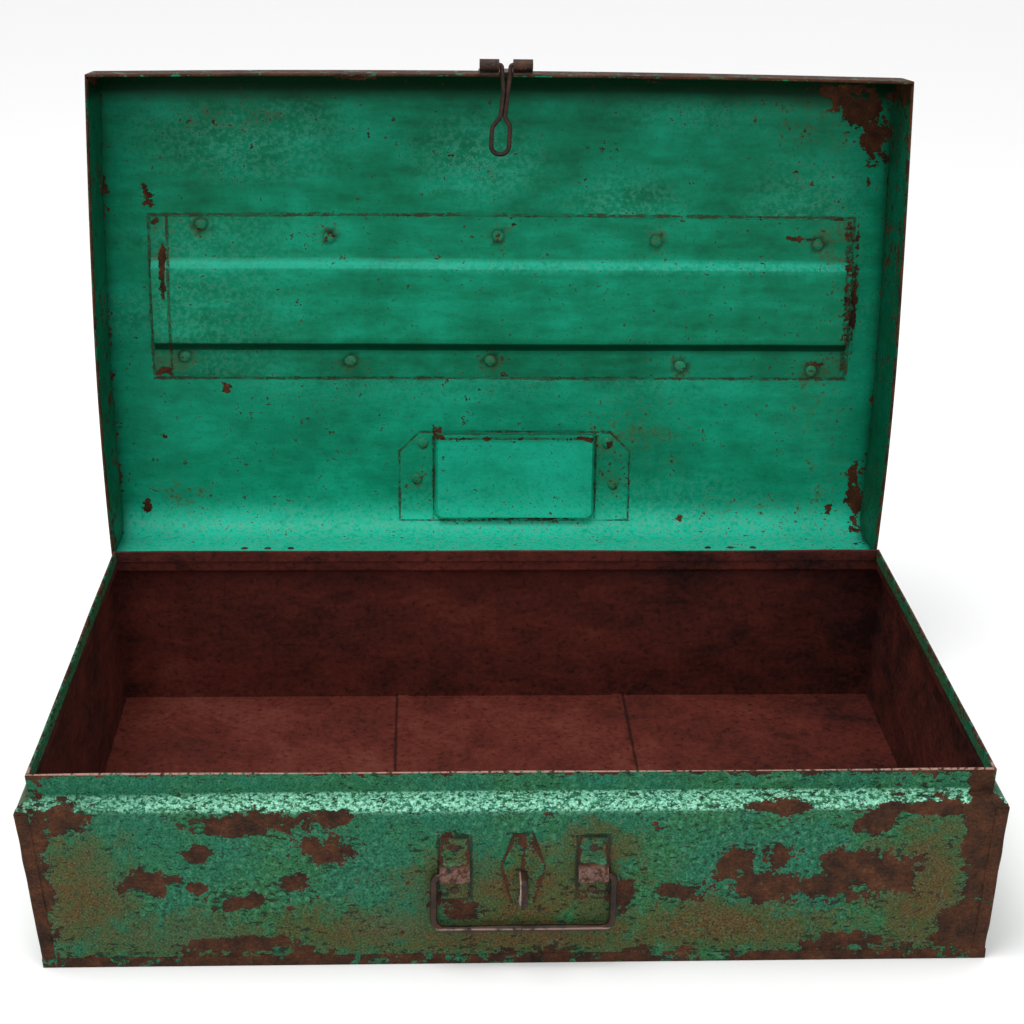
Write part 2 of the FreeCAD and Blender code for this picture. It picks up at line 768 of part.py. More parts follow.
handle_bracket("handle_bracket_left", -1)
handle_bracket("handle_bracket_right", 1)
handle_bail()
heads = []
for side in (-1, 1):
    x = f"handle_middle + {side} * bracket_place"
    for z in ("handle_line_z + bracket_rivet_top", "handle_line_z - bracket_rivet_low"):
        spot = (x, f"-({face_front} + bracket_thick)", z)
        heads.append(rivet_head(spot, (0, -1, 0), "small_rivet_ball"))
piece(group(heads), "bracket_rivets")

doc.recompute()
for thing in doc.Objects:
    if "Invalid" in thing.State or "Error" in thing.State:
        raise RuntimeError(f"{thing.Name} {thing.Label} failed: {thing.State}")
for thing in pieces:
    if thing.Shape.isNull() or not thing.Shape.isValid():
        raise RuntimeError(f"{thing.Label} has no sound shape")
for thing in pieces:
    thing.Shape.exportStep(f"parts/{thing.Label}.step")
    print(thing.Label, len(thing.Shape.Solids), round(thing.Shape.Volume, 1))
print(len(pieces), "pieces")
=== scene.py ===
import json
import math
import bmesh
import bpy
import numpy as np
from mathutils import Matrix, Vector


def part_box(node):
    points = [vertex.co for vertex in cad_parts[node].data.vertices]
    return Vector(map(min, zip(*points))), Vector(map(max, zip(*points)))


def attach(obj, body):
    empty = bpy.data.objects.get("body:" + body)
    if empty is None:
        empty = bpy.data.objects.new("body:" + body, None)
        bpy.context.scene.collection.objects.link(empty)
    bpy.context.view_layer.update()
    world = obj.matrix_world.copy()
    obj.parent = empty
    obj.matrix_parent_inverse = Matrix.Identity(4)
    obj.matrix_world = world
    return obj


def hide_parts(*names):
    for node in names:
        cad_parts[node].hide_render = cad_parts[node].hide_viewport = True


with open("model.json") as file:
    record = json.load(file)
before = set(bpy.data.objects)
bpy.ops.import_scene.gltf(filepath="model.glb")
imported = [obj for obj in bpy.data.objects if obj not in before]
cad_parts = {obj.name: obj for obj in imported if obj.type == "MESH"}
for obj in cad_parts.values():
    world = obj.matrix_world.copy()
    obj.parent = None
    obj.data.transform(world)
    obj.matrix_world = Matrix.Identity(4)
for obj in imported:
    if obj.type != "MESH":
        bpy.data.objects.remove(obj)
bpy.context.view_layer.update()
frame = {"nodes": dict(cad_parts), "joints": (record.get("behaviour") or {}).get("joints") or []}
print("frame loaded")

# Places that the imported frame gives

joints = {joint["name"]: joint for joint in frame["joints"]}
openAngle = math.radians(joints["lid_hinge"]["range_deg"][1])
hingeLine = np.array(joints["lid_hinge"]["pos_m"])
bailLine = np.array(joints["bail_swing"]["pos_m"])
haspLine = np.array(joints["hasp_swing"]["pos_m"])
stripLow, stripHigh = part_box("bottom_strip_front")

trunk = {
    "halfWidth": stripHigh.x,
    "halfDepth": -stripLow.y,
    "wall": 0.0008,
    "shoulder": 0.108,
    "shoulderBend": 0.005,
    "lipBend": 0.0016,
    "lipTop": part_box("front_panel")[1].z,
    "lipInsetFront": 0.0095,
    "lipInsetEnd": 0.00775,
    "hem": 0.008,
    "hemGap": 0.0011,
    "cornerLeg": 0.008,
    "leanLeft": 0.0104 / 0.108,
    "leanRight": 0.0046 / 0.108,
    "backLeanShare": 0.70,
    "grid": 0.0045,
    "dentDepth": 0.0016,
    "rimWave": 0.0005,
}
faceEnd = trunk["halfWidth"] - trunk["wall"]
faceFront = trunk["halfDepth"] - trunk["wall"]

lid = {
    "left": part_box("lid_left_end")[0].x,
    "right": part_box("lid_right_end")[1].x,
    "front": -0.175,
    "back": 0.1715,
    "rim": 0.1084,
    "tall": 0.0628,
    "frontBend": 0.025,
    "backBend": 0.020,
    "hem": 0.007,
    "leftReach": (0.2866, 0.2888, 0.2835),
    "rightReach": (0.2830, 0.2842, 0.2780),
    "frontBow": 0.0026,
    "dentDepth": 0.0011,
}
lid["crown"] = lid["rim"] + lid["tall"]
lid["ceiling"] = lid["crown"] - trunk["wall"]
lid["middle"] = (lid["left"] + lid["right"]) / 2
lid["halfWidth"] = (lid["right"] - lid["left"]) / 2

# edges that turn by more than this are drawn sharp
sharpEdge = math.radians(38)

# Shape helpers


def softNoise(points, size, seed):
    # smooth values between -1 and 1 from a seeded lattice
    lattice = np.random.RandomState(seed).uniform(-1, 1, (16, 16, 16))
    scaled = points / size
    base = np.floor(scaled).astype(int)
    part = scaled - base
    part = part * part * (3 - 2 * part)
    total = np.zeros(len(points))
    for corner in np.ndindex(2, 2, 2):
        weight = np.ones(len(points))
        for axis in range(3):
            weight = weight * (part[:, axis] if corner[axis] else 1 - part[:, axis])
        cell = (base + corner) % 16
        total += weight * lattice[cell[:, 0], cell[:, 1], cell[:, 2]]
    return total


def ease(value, low, high):
    share = np.clip((value - low) / (high - low), 0, 1)
    return share * share * (3 - 2 * share)


def roundCorner(before, point, after, radius, cuts):
    # the arc that rounds a corner; cuts gives the number of pieces from the angle it turns through
    toBefore = (before - point) / np.linalg.norm(before - point)
    toAfter = (after - point) / np.linalg.norm(after - point)
    half = math.acos(np.clip(toBefore @ toAfter, -1, 1)) / 2
    if half > math.radians(89):
        return [point]
    reach = radius / math.tan(half)
    inward = (toBefore + toAfter) / np.linalg.norm(toBefore + toAfter)
    centre = point + inward * radius / math.sin(half)
    first, last = point + toBefore * reach - centre, point + toAfter * reach - centre
    sweep = math.pi - 2 * half
    return [centre + (first * math.sin(sweep - turn) + last * math.sin(turn)) / math.sin(sweep)
            for turn in np.linspace(0, sweep, cuts(sweep) + 1)]


def bendPath(corners, step):
    # a line through corners, each (point, bend radius); bends become arcs, straights are cut to step
    points = [np.array(corner[0], float) for corner in corners]
    line = [points[0]]
    for i, point in enumerate(points[1:], 1):
        arc = [point]
        if i < len(points) - 1 and corners[i][1]:
            arc = roundCorner(points[i - 1], point, points[i + 1], corners[i][1],
                              lambda sweep: max(3, math.ceil(sweep / math.radians(14))))
        start, gap = line[-1], arc[0] - line[-1]
        count = max(1, math.ceil(np.linalg.norm(gap) / step))
        line += [start + gap * (k + 1) / count for k in range(count)]
        line += arc[1:]
    return np.array(line)


def throughSpots(spots, bends, step=0.0012):
    # a wire's middle line through spots, with rounded corners, finely cut
    points = [np.array(spot, float) for spot in spots]
    line = [points[0]]
    for before, point, after, radius in zip(points, points[1:], points[2:], bends):
        line += roundCorner(before, point, after, radius, lambda sweep: max(4, int(sweep * radius / step)))
    line.append(points[-1])
    fine = [line[0]]
    for spot in line[1:]:
        start, gap = fine[-1], spot - fine[-1]
        count = max(1, int(np.linalg.norm(gap) / step))
        fine += [start + gap * (k + 1) / count for k in range(count)]
    return np.array(fine)


def gridPoints(x, y, z):
    # one flat list of points from three values that spread over the same rows and columns
    return np.stack([value.ravel() for value in np.broadcast_arrays(x, y, z)], axis=1)


def bothSides(line, thickness):
    # the two faces of a sheet whose middle is a flat line
    ahead = np.gradient(line, axis=0)
    ahead /= np.linalg.norm(ahead, axis=1)[:, None]
    normal = np.stack([-ahead[:, 1], ahead[:, 0]], axis=1)
    return line + normal * thickness / 2, line - normal * thickness / 2


def slab(first, second):
    # a closed sheet between two grids of points; faces are marked 0 on the first, 1 on the second, 2 on edges
    rows, cols = first.shape[:2]
    points = np.concatenate([first.reshape(-1, 3), second.reshape(-1, 3)])
    index = np.arange(rows * cols).reshape(rows, cols)
    other = index + rows * cols
    faces, sides = [], []
    for i in range(rows - 1):
        for j in range(cols - 1):
            faces.append((index[i, j], index[i, j + 1], index[i + 1, j + 1], index[i + 1, j]))
            faces.append((other[i, j], other[i + 1, j], other[i + 1, j + 1], other[i, j + 1]))
            sides += [0, 1]
    rim = [(i, 0) for i in range(rows - 1)] + [(rows - 1, j) for j in range(cols - 1)]
    rim += [(i, cols - 1) for i in range(rows - 1, 0, -1)] + [(0, j) for j in range(cols - 1, 0, -1)]
    for k, spot in enumerate(rim):
        after = rim[(k + 1) % len(rim)]
        faces.append((index[spot], index[after], other[after], other[spot]))
        sides.append(2)
    return points, faces, sides


def skinOver(points, sides):
    # a closed skin over rings of points, capped at both ends
    faces = []
    last = len(points) - sides
    for start in range(0, last, sides):
        for k in range(sides):
            after = (k + 1) % sides
            faces.append((start + k, start + after, start + sides + after, start + sides + k))
    faces += [tuple(range(sides)), tuple(range(last, last + sides))]
    return np.array(points), faces, [0] * len(faces)


def tube(line, radius, sides=14, uneven=0.0, seed=1):
    # a round wire along a line, closed at both ends
    line = np.array(line, float)
    ahead = np.gradient(line, axis=0)
    ahead /= np.linalg.norm(ahead, axis=1)[:, None]
    across = np.cross(ahead[0], (0.3, 0.9, 0.31))
    across /= np.linalg.norm(across)
    wobble = 1 + uneven * softNoise(line, 0.011, seed)
    points = []
    for spot, way, size in zip(line, ahead, wobble):
        across = across - way * (across @ way)
        across /= np.linalg.norm(across)
        up = np.cross(way, across)
        for k in range(sides):
            turn = 2 * math.pi * k / sides
            points.append(spot + (across * math.cos(turn) + up * math.sin(turn)) * radius * size)
    return skinOver(points, sides)


def rivet(spot, way, radius, tall, seed):
    # a hammered dome with a slightly flat crown
    rings = [(1.0, 0.0), (1.0, 0.12), (0.93, 0.42), (0.76, 0.72), (0.5, 0.9), (0.22, 0.97)]
    way = np.array(way, float)
    across = np.cross(way, (0.21, 0.4, 0.89))
    across /= np.linalg.norm(across)
    up = np.cross(way, across)
    skew = np.random.RandomState(seed).uniform(-0.09, 0.09, 2)
    count = 18
    points = []
    for wide, high in rings:
        for k in range(count):
            turn = 2 * math.pi * k / count
            size = radius * wide * (1 + 0.05 * math.sin(2 * turn + seed))
            shift = (across * skew[0] + up * skew[1]) * radius * high
            ringSpot = (across * math.cos(turn) + up * math.sin(turn)) * size
            points.append(spot + ringSpot + shift + way * tall * high)
    return skinOver(points, count)


def together(*meshes):
    # several meshes as one
    points, faces, sides, start = [], [], [], 0
    for meshPoints, meshFaces, meshSides in meshes:
        points.append(meshPoints)
        faces += [tuple(int(k) + start for k in face) for face in meshFaces]
        sides += list(meshSides)
        start += len(meshPoints)
    return np.concatenate(points), faces, sides


def swung(points, angle):
    # points turned about the lid's hinge line
    spin = np.array(Matrix.Rotation(angle, 3, "X"))
    return (points - hingeLine) @ spin.T + hingeLine


def swingOpen(points):
    # the lid's pieces are drawn shut and swung open
    return swung(points, -openAngle)


def swingShut(points):
    return swung(points, openAngle)


def bowLid(points):
    # the rim bows out at the middle of each end and of the front, and the sheet is gently beaten
    moved = points.copy()
    middle = (lid["front"] + lid["back"]) / 2
    along = (points[:, 1] - middle) / (lid["back"] - middle)
    toFrontShare, toBackShare = np.clip(-along, 0, 1) ** 2, np.clip(along, 0, 1) ** 2
    for side, reaches in ((-1, lid["leftReach"]), (1, lid["rightReach"])):
        atFront, atMiddle, atBack = reaches
        reach = atMiddle + (atFront - atMiddle) * toFrontShare + (atBack - atMiddle) * toBackShare
        drawnReach = -lid["left"] if side < 0 else lid["right"]
        here = points[:, 0] * side > 0
        share = ease(np.abs(points[:, 0]), 0.19, 0.275)
        moved[:, 0] += np.where(here, side * (reach - drawnReach) * share, 0)
    toFront = ease(-points[:, 1], -0.02, -lid["front"])
    across = (points[:, 0] - lid["middle"]) / lid["halfWidth"]
    moved[:, 1] += lid["frontBow"] * across ** 2 * toFront
    high = ease(points[:, 2], lid["rim"] + 0.012, lid["crown"] - 0.01)
    inner = ease(1 - np.abs(across), 0.0, 0.17)
    beaten = softNoise(points, 0.085, 4) + 0.45 * softNoise(points, 0.034, 5)
    moved[:, 2] -= lid["dentDepth"] * (0.9 + beaten) * high * inner
    low = 1 - ease(points[:, 2], lid["rim"] + 0.004, lid["rim"] + 0.03)
    moved[:, 2] += 0.0003 * (1 + softNoise(points, 0.05, 6)) * low
    return moved


def makePiece(name, mesh, materials, body, node, marks=(), drawnShut=False):
    # marks are (attribute name, function of the points as drawn)
    points, faces, sides = mesh
    drawn = points
    if drawnShut:
        points = swingOpen(bowLid(points))
    data = bpy.data.meshes.new(name)
    data.from_pydata([tuple(p) for p in points], [], [tuple(int(k) for k in face) for face in faces])
    for material in materials:
        data.materials.append(material)
    for polygon, side in zip(data.polygons, sides):
        polygon.material_index = min(side, len(materials) - 1)
        polygon.use_smooth = True
    placeLayer = data.attributes.new("drawn", "FLOAT_VECTOR", "POINT")
    placeLayer.data.foreach_set("vector", drawn.astype(np.float32).ravel())
    for markName, rule in marks:
        layer = data.attributes.new(markName, "FLOAT", "POINT")
        layer.data.foreach_set("value", np.clip(rule(drawn), 0, 1).astype(np.float32))
    work = bmesh.new()
    work.from_mesh(data)
    bmesh.ops.recalc_face_normals(work, faces=work.faces)
    for edge in work.edges:
        if edge.is_manifold and edge.calc_face_angle(0) > sharpEdge:
            edge.smooth = False
    work.to_mesh(data)
    work.free()
    piece = bpy.data.objects.new(name, data)
    bpy.context.scene.collection.objects.link(piece)
    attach(piece, body)
    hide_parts(node)


# Materials


class Value:
    # a node's output that can be added, subtracted and multiplied
    def __init__(self, shade, socket):
        self.shade = shade
        self.socket = socket

    def __add__(self, other):
        return self.shade.math("ADD", self, other)

    def __sub__(self, other):
        return self.shade.math("SUBTRACT", self, other)

    def __rsub__(self, other):
        return self.shade.math("SUBTRACT", other, self)

    def __mul__(self, other):
        return self.shade.math("MULTIPLY", self, other)


class Shade:
    # a short way to add and join nodes
    def __init__(self, name):
        self.material = bpy.data.materials.new(name)
        self.material.use_nodes = True
        self.tree = self.material.node_tree
        self.shader = self.tree.nodes["Principled BSDF"]
        drawn, self.place = self.node("ShaderNodeAttribute", 1)
        drawn.attribute_name = "drawn"
        apart = self.node("ShaderNodeSeparateXYZ")[0]
        self.put(apart.inputs[0], self.place)
        self.x, self.y, self.z = (Value(self, socket) for socket in apart.outputs)

    def node(self, kind, outlet=0):
        node = self.tree.nodes.new(kind)
        return node, Value(self, node.outputs[outlet])

    def put(self, socket, value):
        if isinstance(value, Value):
            self.tree.links.new(value.socket, socket)
        elif value is not None:
            socket.default_value = value

    def fill(self, node, **values):
        for name, value in values.items():
            self.put(node.inputs[name], value)

    def math(self, kind, a, b=None):
        node, result = self.node("ShaderNodeMath")
        node.operation = kind
        self.put(node.inputs[0], a)
        self.put(node.inputs[1], b)
        return result

    def stretched(self, scale):
        node, result = self.node("ShaderNodeMapping")
        self.fill(node, Vector=self.place, Scale=scale)
        return result

    def noise(self, scale, detail=4.0, rough=0.55, place=None, warp=0.0):
        node, result = self.node("ShaderNodeTexNoise")
        self.fill(node, Vector=place or self.place, Scale=scale, Detail=detail, Roughness=rough,
                  Distortion=warp)
        return result

    def step(self, value, low, high):
        node, result = self.node("ShaderNodeMapRange")
        node.interpolation_type = "SMOOTHSTEP"
        self.fill(node, **{"Value": value, "From Min": low, "From Max": high})
        return result

    def ramp(self, value, stops):
        node, result = self.node("ShaderNodeValToRGB")
        self.put(node.inputs["Fac"], value)
        band = node.color_ramp.elements
        while len(band) < len(stops):
            band.new(0.5)
        for element, (spot, colour) in zip(band, stops):
            element.position = spot
            element.color = (*colour, 1)
        return result

    def mix(self, share, a, b):
        node, result = self.node("ShaderNodeMix", 2)
        node.data_type = "RGBA"
        self.put(node.inputs["Factor"], share)
        for socket, value in zip((node.inputs[6], node.inputs[7]), (a, b)):
            self.put(socket, (*value, 1) if isinstance(value, tuple) else value)
        return result

    def mark(self, name):
        node, result = self.node("ShaderNodeAttribute", 2)
        node.attribute_name = name
        return result

    def outline(self, a, b, middle, half, wide, waver, slant=0.0):
        # 1 on the edge of an upright rectangle, fading over wide; slant cuts its two low corners
        reachA = self.math("ABSOLUTE", a - middle[0]) - half[0]
        reachB = self.math("ABSOLUTE", b - middle[1]) - half[1]
        inside = self.math("MAXIMUM", reachA, reachB)
        if slant:
            past = reachA + (middle[1] - b - half[1]) + slant
            inside = self.math("MAXIMUM", inside, past * 0.707)
        away = (waver - 0.5) * (wide * 3) + self.math("ABSOLUTE", inside)
        return self.step(away, wide, wide * 0.35)

    def most(self, values):
        result = values[0]
        for value in values[1:]:
            result = self.math("MAXIMUM", result, value)
        return result

    def finish(self, colour, roughness, height, depth, metallic=0.0, shine=0.35):
        self.fill(self.shader, **{"Base Color": colour, "Roughness": roughness, "Metallic": metallic,
                                  "Specular IOR Level": shine})
        bump, normal = self.node("ShaderNodeBump")
        self.fill(bump, Height=height, Strength=1.0, Distance=depth)
        self.put(self.shader.inputs["Normal"], normal)
        return self.material


rustColours = {
    "black": (0.010, 0.006, 0.004),
    "brown": (0.034, 0.014, 0.007),
    "red": (0.068, 0.023, 0.009),
    "tan": (0.130, 0.057, 0.027),
}


def rustLook(shade):
    # colour of bare rusted sheet
    broad = shade.noise(70, 5, 0.6)
    fine = shade.noise(620, 4, 0.6)
    blend = broad * 0.65 + fine * 0.35
    c = rustColours
    return shade.ramp(blend, [(0.34, c["black"]), (0.45, c["brown"]), (0.57, c["red"]), (0.72, c["tan"])])


chipped = {
    "teal": (0.005, 0.108, 0.053),
    "green": (0.013, 0.112, 0.036),
    "turquoise": (0.006, 0.190, 0.125),
    "mint": (0.085, 0.270, 0.155),
    "sea": (0.003, 0.112, 0.055),
    "olive": (0.052, 0.058, 0.010),
    "ochre": (0.085, 0.040, 0.007),
    "pit": (0.010, 0.014, 0.009),
    # painted highlight colours: the shoulder's bend, the rim's top edge and the bracket humps
    "rubbed": (0.13, 0.42, 0.27),
    "bright": (0.34, 0.68, 0.52),
    "rimLine": (0.33, 0.20, 0.16),
    "handled": (0.170, 0.098, 0.080),
}

# painted shade and dirt lines round the handle's straps, as (middle x, middle z), half sizes and breadth
fittingRims = (
    ((-0.0384, 0.0660), (0.0094, 0.0210), 0.0016),
    ((0.0422, 0.0660), (0.0094, 0.0210), 0.0016),
)


def chippedPaint(name):
    # brushed green over rust: broad patches, small chips, pits and yellow-brown stains
    shade = Shade(name)
    c = chipped
    broad = shade.noise(22, 5, 0.6)
    middle = shade.noise(80, 6, 0.65)
    small = shade.noise(300, 5, 0.62)
    fine = shade.noise(850, 3, 0.6)
    flat = shade.noise(1.0, 5, 0.65, place=shade.stretched((190, 190, 430)))
    paint = shade.mix(shade.step(broad, 0.43, 0.58), c["teal"], c["green"])
    paint = shade.mix(shade.step(small, 0.50, 0.66) * 0.50, paint, c["mint"])
    paint = shade.mix(shade.step(middle, 0.54, 0.66) * 0.50, paint, c["turquoise"])
    stain = (middle - 0.5) * 1.5 + shade.mark("stain")
    stain = (small - 0.5) * 0.8 + stain
    paint = shade.mix(shade.step(stain, 0.30, 0.62) * 0.88, paint, c["olive"])
    paint = shade.mix(shade.step(stain, 0.60, 0.95) * 0.85, paint, c["ochre"])
    paint = shade.mix(shade.step(small, 0.47, 0.34) * 0.55, paint, c["pit"])
    paint = shade.mix(shade.mark("sea") * 0.85, paint, c["sea"])
    paint = shade.mix(shade.step(fine, 0.53, 0.68) * 0.30, paint, c["mint"])
    paint = shade.mix(shade.step(fine, 0.49, 0.34) * 0.75, paint, c["pit"])
    # painted shade with dirt: dark lines on the wall round the handle's straps
    rims = [shade.outline(shade.x, shade.z, *rim, middle) for rim in fittingRims]
    rim = shade.most(rims) * shade.step(shade.y, -0.165, -0.168)
    paint = shade.mix(rim * 0.75, paint, c["pit"])
    # painted highlight along the shoulder's bend, broken into flakes
    flakes = shade.noise(1.0, 5, 0.7, place=shade.stretched((340, 340, 520)))
    rubbed = shade.step(shade.mark("pale"), 0.1, 0.7) * shade.step(flakes, 0.44, 0.55)
    worn = shade.mix(shade.step(fine, 0.44, 0.60), c["rubbed"], c["bright"])
    paint = shade.mix(rubbed, paint, worn)
    ground = (middle - 0.5) * 2.1 + shade.mark("rust")
    ground = (small - 0.5) * 0.9 + ground
    bare = shade.step(ground, 0.495, 0.515)
    edge = shade.step(ground, 0.43, 0.49) * 0.34
    paint = shade.mix(edge, paint, c["mint"])
    chips = (broad - 0.5) * 0.22 + flat
    chips = shade.mark("rust") * 0.16 + chips
    pitted = shade.step(chips, 0.635, 0.655)
    paint = shade.mix(pitted * 0.9, paint, c["pit"])
    colour = shade.mix(bare, paint, rustLook(shade))
    # painted highlight on the lower face of each bracket's hump
    handled = shade.mark("fresh") * shade.step(small, 0.38, 0.58)
    colour = shade.mix(handled, colour, c["handled"])
    # painted highlight: a pale line along the top edge of the front's lip
    rimHighlight = shade.step(shade.z, trunk["lipTop"] - 0.0008, trunk["lipTop"] - 0.0005)
    rimHighlight = rimHighlight * shade.step(shade.y, -0.150, -0.155)
    rimHighlight = rimHighlight * shade.step(shade.mark("sea"), 0.02, 0.10)
    colour = shade.mix(rimHighlight * shade.step(small, 0.40, 0.50), colour, c["rimLine"])
    rough = small * 0.35 + 0.30
    roughness = bare * 0.25 + rough
    skin = 1.0 - bare
    height = fine * 0.25 + skin * 0.6
    height = small * 0.6 + height
    height = pitted * -0.5 + height
    return shade.finish(colour, roughness, height, 0.0007, shine=0.15)


gloss = {
    "deep": (0.0005, 0.110, 0.050),
    "sea": (0.001, 0.185, 0.092),
    "light": (0.003, 0.275, 0.155),
    # painted light for the rear wall, the channel's slope and the pocket; the next, paler still, is painted
    # highlight with some rubbed spots
    "fresh": (0.010, 0.470, 0.310),
    "worn": (0.075, 0.370, 0.260),
    # near black: painted shade, and the dark rings round the rivets
    "grime": (0.001, 0.014, 0.004),
    "crack": (0.034, 0.018, 0.006),
    "dirt": (0.050, 0.070, 0.020),
}

# seams inside the shut lid, as (middle x, middle y), half sizes, breadth and slant
lidSeams = (
    ((0.002, -0.0095), (0.2585, 0.0610), 0.0016, 0.0),
    ((-0.243, -0.0095), (0.0002, 0.0605), 0.0012, 0.0),
    ((0.2585, -0.0095), (0.0012, 0.0530), 0.0024, 0.0),
    ((0.012, 0.1285), (0.0612, 0.0322), 0.0012, 0.0),
    ((0.012, 0.1267), (0.0868, 0.0340), 0.0012, 0.015),
)


def seaPaint(name):
    # smoother brushed sea-green inside the lid, mottled, with rust along its seams
    shade = Shade(name)
    c = gloss
    broad = shade.noise(13, 4, 0.6)
    along = shade.noise(1.0, 5, 0.65, place=shade.stretched((24, 90, 90)))
    middle = shade.noise(85, 6, 0.65)
    small = shade.noise(320, 5, 0.62)
    grain = shade.noise(800, 3, 0.6)
    blend = along * 0.35 + broad * 0.45
    blend = middle * 0.20 + blend
    paint = shade.ramp(blend, [(0.38, c["deep"]), (0.50, c["sea"]), (0.62, c["light"])])
    # painted light on the rear wall, the channel's slope and the pocket
    patchy = (middle - 0.5) * 1.2 + 1.0
    paint = shade.mix(shade.mark("fresh") * patchy, paint, c["fresh"])
    # painted highlight on the rear wall, the channel's slope and the pocket, mixed with pale streaks and
    # rubbed spots
    rubbed = shade.mark("pale") * shade.step(small, 0.46, 0.60)
    paint = shade.mix(rubbed, paint, c["worn"])
    paint = shade.mix(shade.step(small, 0.44, 0.30) * 0.45, paint, c["deep"])
    dirt = (middle - 0.5) * 1.2 + shade.mark("stain")
    dirt = (small - 0.5) * 1.4 + dirt
    paint = shade.mix(shade.step(dirt, 0.42, 0.72) * 0.62, paint, c["dirt"])
    # painted shade on the front wall, inner ends, corners and channel step, and dark rings round the rivets
    paint = shade.mix(shade.mark("grime"), paint, c["grime"])
    lines = [shade.outline(shade.x, shade.y, *seam[:3], middle, seam[3]) for seam in lidSeams]
    line = shade.most(lines) * shade.step(small, 0.36, 0.52)
    line = line * shade.step(along, 0.30, 0.52)
    paint = shade.mix(line * 0.85, paint, c["crack"])
    ground = (middle - 0.5) * 2.0 + shade.mark("rust")
    ground = (small - 0.5) * 1.0 + ground
    bare = shade.step(ground, 0.49, 0.53)
    specks = shade.step(middle * 0.5 + small, 0.90, 0.93)
    paint = shade.mix(specks * 0.8, paint, c["crack"])
    colour = shade.mix(bare, paint, rustLook(shade))
    roughness = bare * 0.35 + middle * 0.35 + 0.20
    height = small * 0.35 + bare * -0.5
    height = along * 0.5 + height
    height = grain * 0.2 + height
    height = line * -0.5 + height
    return shade.finish(colour, roughness, height, 0.0006, shine=0.09)


oxide = {
    "dark": (0.014, 0.003, 0.002),
    "red": (0.098, 0.016, 0.010),
    "dust": (0.160, 0.046, 0.030),
    "seamLeft": -0.0768,
    "seamRight": 0.0932,
}


def oxidePaint(name):
    # matt red oxide inside the body, dusty on the floor and dark up the walls
    shade = Shade(name)
    c = oxide
    broad = shade.noise(11, 5, 0.6)
    grain = shade.noise(260, 4, 0.6)
    speckle = shade.noise(700, 3, 0.6)
    scuffs = shade.noise(1.0, 5, 0.7, place=shade.stretched((26, 26, 60)), warp=0.6)
    blend = scuffs * 0.40 + broad * 0.35
    blend = grain * 0.25 + blend
    dark = blend - shade.mark("shade") * 0.13
    paint = shade.ramp(dark, [(0.30, c["dark"]), (0.50, c["red"]), (0.70, c["dust"])])
    specks = shade.step(grain, 0.42, 0.30)
    paint = shade.mix(specks * 0.6, paint, c["dark"])
    seams = [shade.outline(shade.x, shade.y, (spot, 0), (0.0003, 0.2), 0.0012, scuffs)
             for spot in (c["seamLeft"], c["seamRight"])]
    seam = shade.most(seams) * shade.step(shade.z, 0.004, 0.003)
    paint = shade.mix(seam * 0.75, paint, c["dark"])
    roughness = grain * 0.3 + 0.50
    height = grain * 0.6 + scuffs * 0.4
    height = speckle * 0.3 + height
    return shade.finish(paint, roughness, height, 0.0007, shine=0.22)


ironColours = {
    "rubbed": (0.16, 0.105, 0.075),
    # painted highlight lines on the bail and the staple
    "bright": (0.42, 0.29, 0.24),
}


def darkIron(name, rubShare=0.35, rough=0.38):
    # old handled iron: near black, rust in the hollows, rubbed brown on the rounds
    shade = Shade(name)
    c = rustColours
    broad = shade.noise(120, 5, 0.6)
    fine = shade.noise(800, 4, 0.6)
    base = shade.ramp(broad, [(0.35, c["black"]), (0.55, c["brown"]), (0.75, c["red"])])
    rubbed = shade.step(fine, 0.48, 0.7) * rubShare
    colour = shade.mix(rubbed, base, ironColours["rubbed"])
    # painted highlight: bright lines on the bail's bar and the staple's edge
    bright = shade.mark("fresh") * shade.step(broad, 0.34, 0.50)
    colour = shade.mix(bright, colour, ironColours["bright"])
    roughness = fine * 0.35 + rough
    height = fine * 0.5 + broad * 0.5
    return shade.finish(colour, roughness, height, 0.0004, metallic=0.35)


outerPaint = chippedPaint("chippedGreenPaint")
lidPaint = seaPaint("seaGreenPaint")
innerPaint = oxidePaint("redOxide")
iron = darkIron("darkIron")
print("materials made")

# Where paint has gone, in metres on each face

frontRust = (
    (-0.258, 0.099, 0.008, 0.007), (-0.161, 0.096, 0.024, 0.006), (-0.187, 0.074, 0.007, 0.005),
    (-0.216, 0.057, 0.013, 0.006), (-0.190, 0.053, 0.005, 0.003), (-0.162, 0.043, 0.014, 0.005),
    (-0.112, 0.099, 0.011, 0.004), (-0.111, 0.078, 0.012, 0.008), (-0.134, 0.056, 0.008, 0.005),
    (-0.160, 0.015, 0.028, 0.004), (0.094, 0.048, 0.012, 0.005), (0.125, 0.067, 0.009, 0.009),
    (0.150, 0.074, 0.007, 0.006), (0.150, 0.050, 0.022, 0.008), (0.180, 0.050, 0.016, 0.008),
    (0.211, 0.059, 0.018, 0.011), (0.190, 0.068, 0.010, 0.006), (0.207, 0.093, 0.010, 0.006),
    (0.197, 0.014, 0.018, 0.004), (0.150, 0.1045, 0.016, 0.0025), (0.238, 0.1032, 0.026, 0.0032),
    (0.267, 0.080, 0.006, 0.030), (-0.040, 0.045, 0.010, 0.005), (0.060, 0.047, 0.006, 0.010),
    (-0.040, 0.087, 0.007, 0.002), (0.262, 0.020, 0.010, 0.014), (-0.040, 0.060, 0.005, 0.005),
    (-0.032, 0.037, 0.010, 0.006),
)


def blobs(across, up, spots):
    # 1 at a spot's middle, 0.5 at its edge, 0 beyond
    best = np.zeros(len(across))
    for x, z, wide, tall in spots:
        reach = np.sqrt(((across - x) / wide) ** 2 + ((up - z) / tall) ** 2)
        best = np.maximum(best, 1 - 0.5 * reach)
    return best


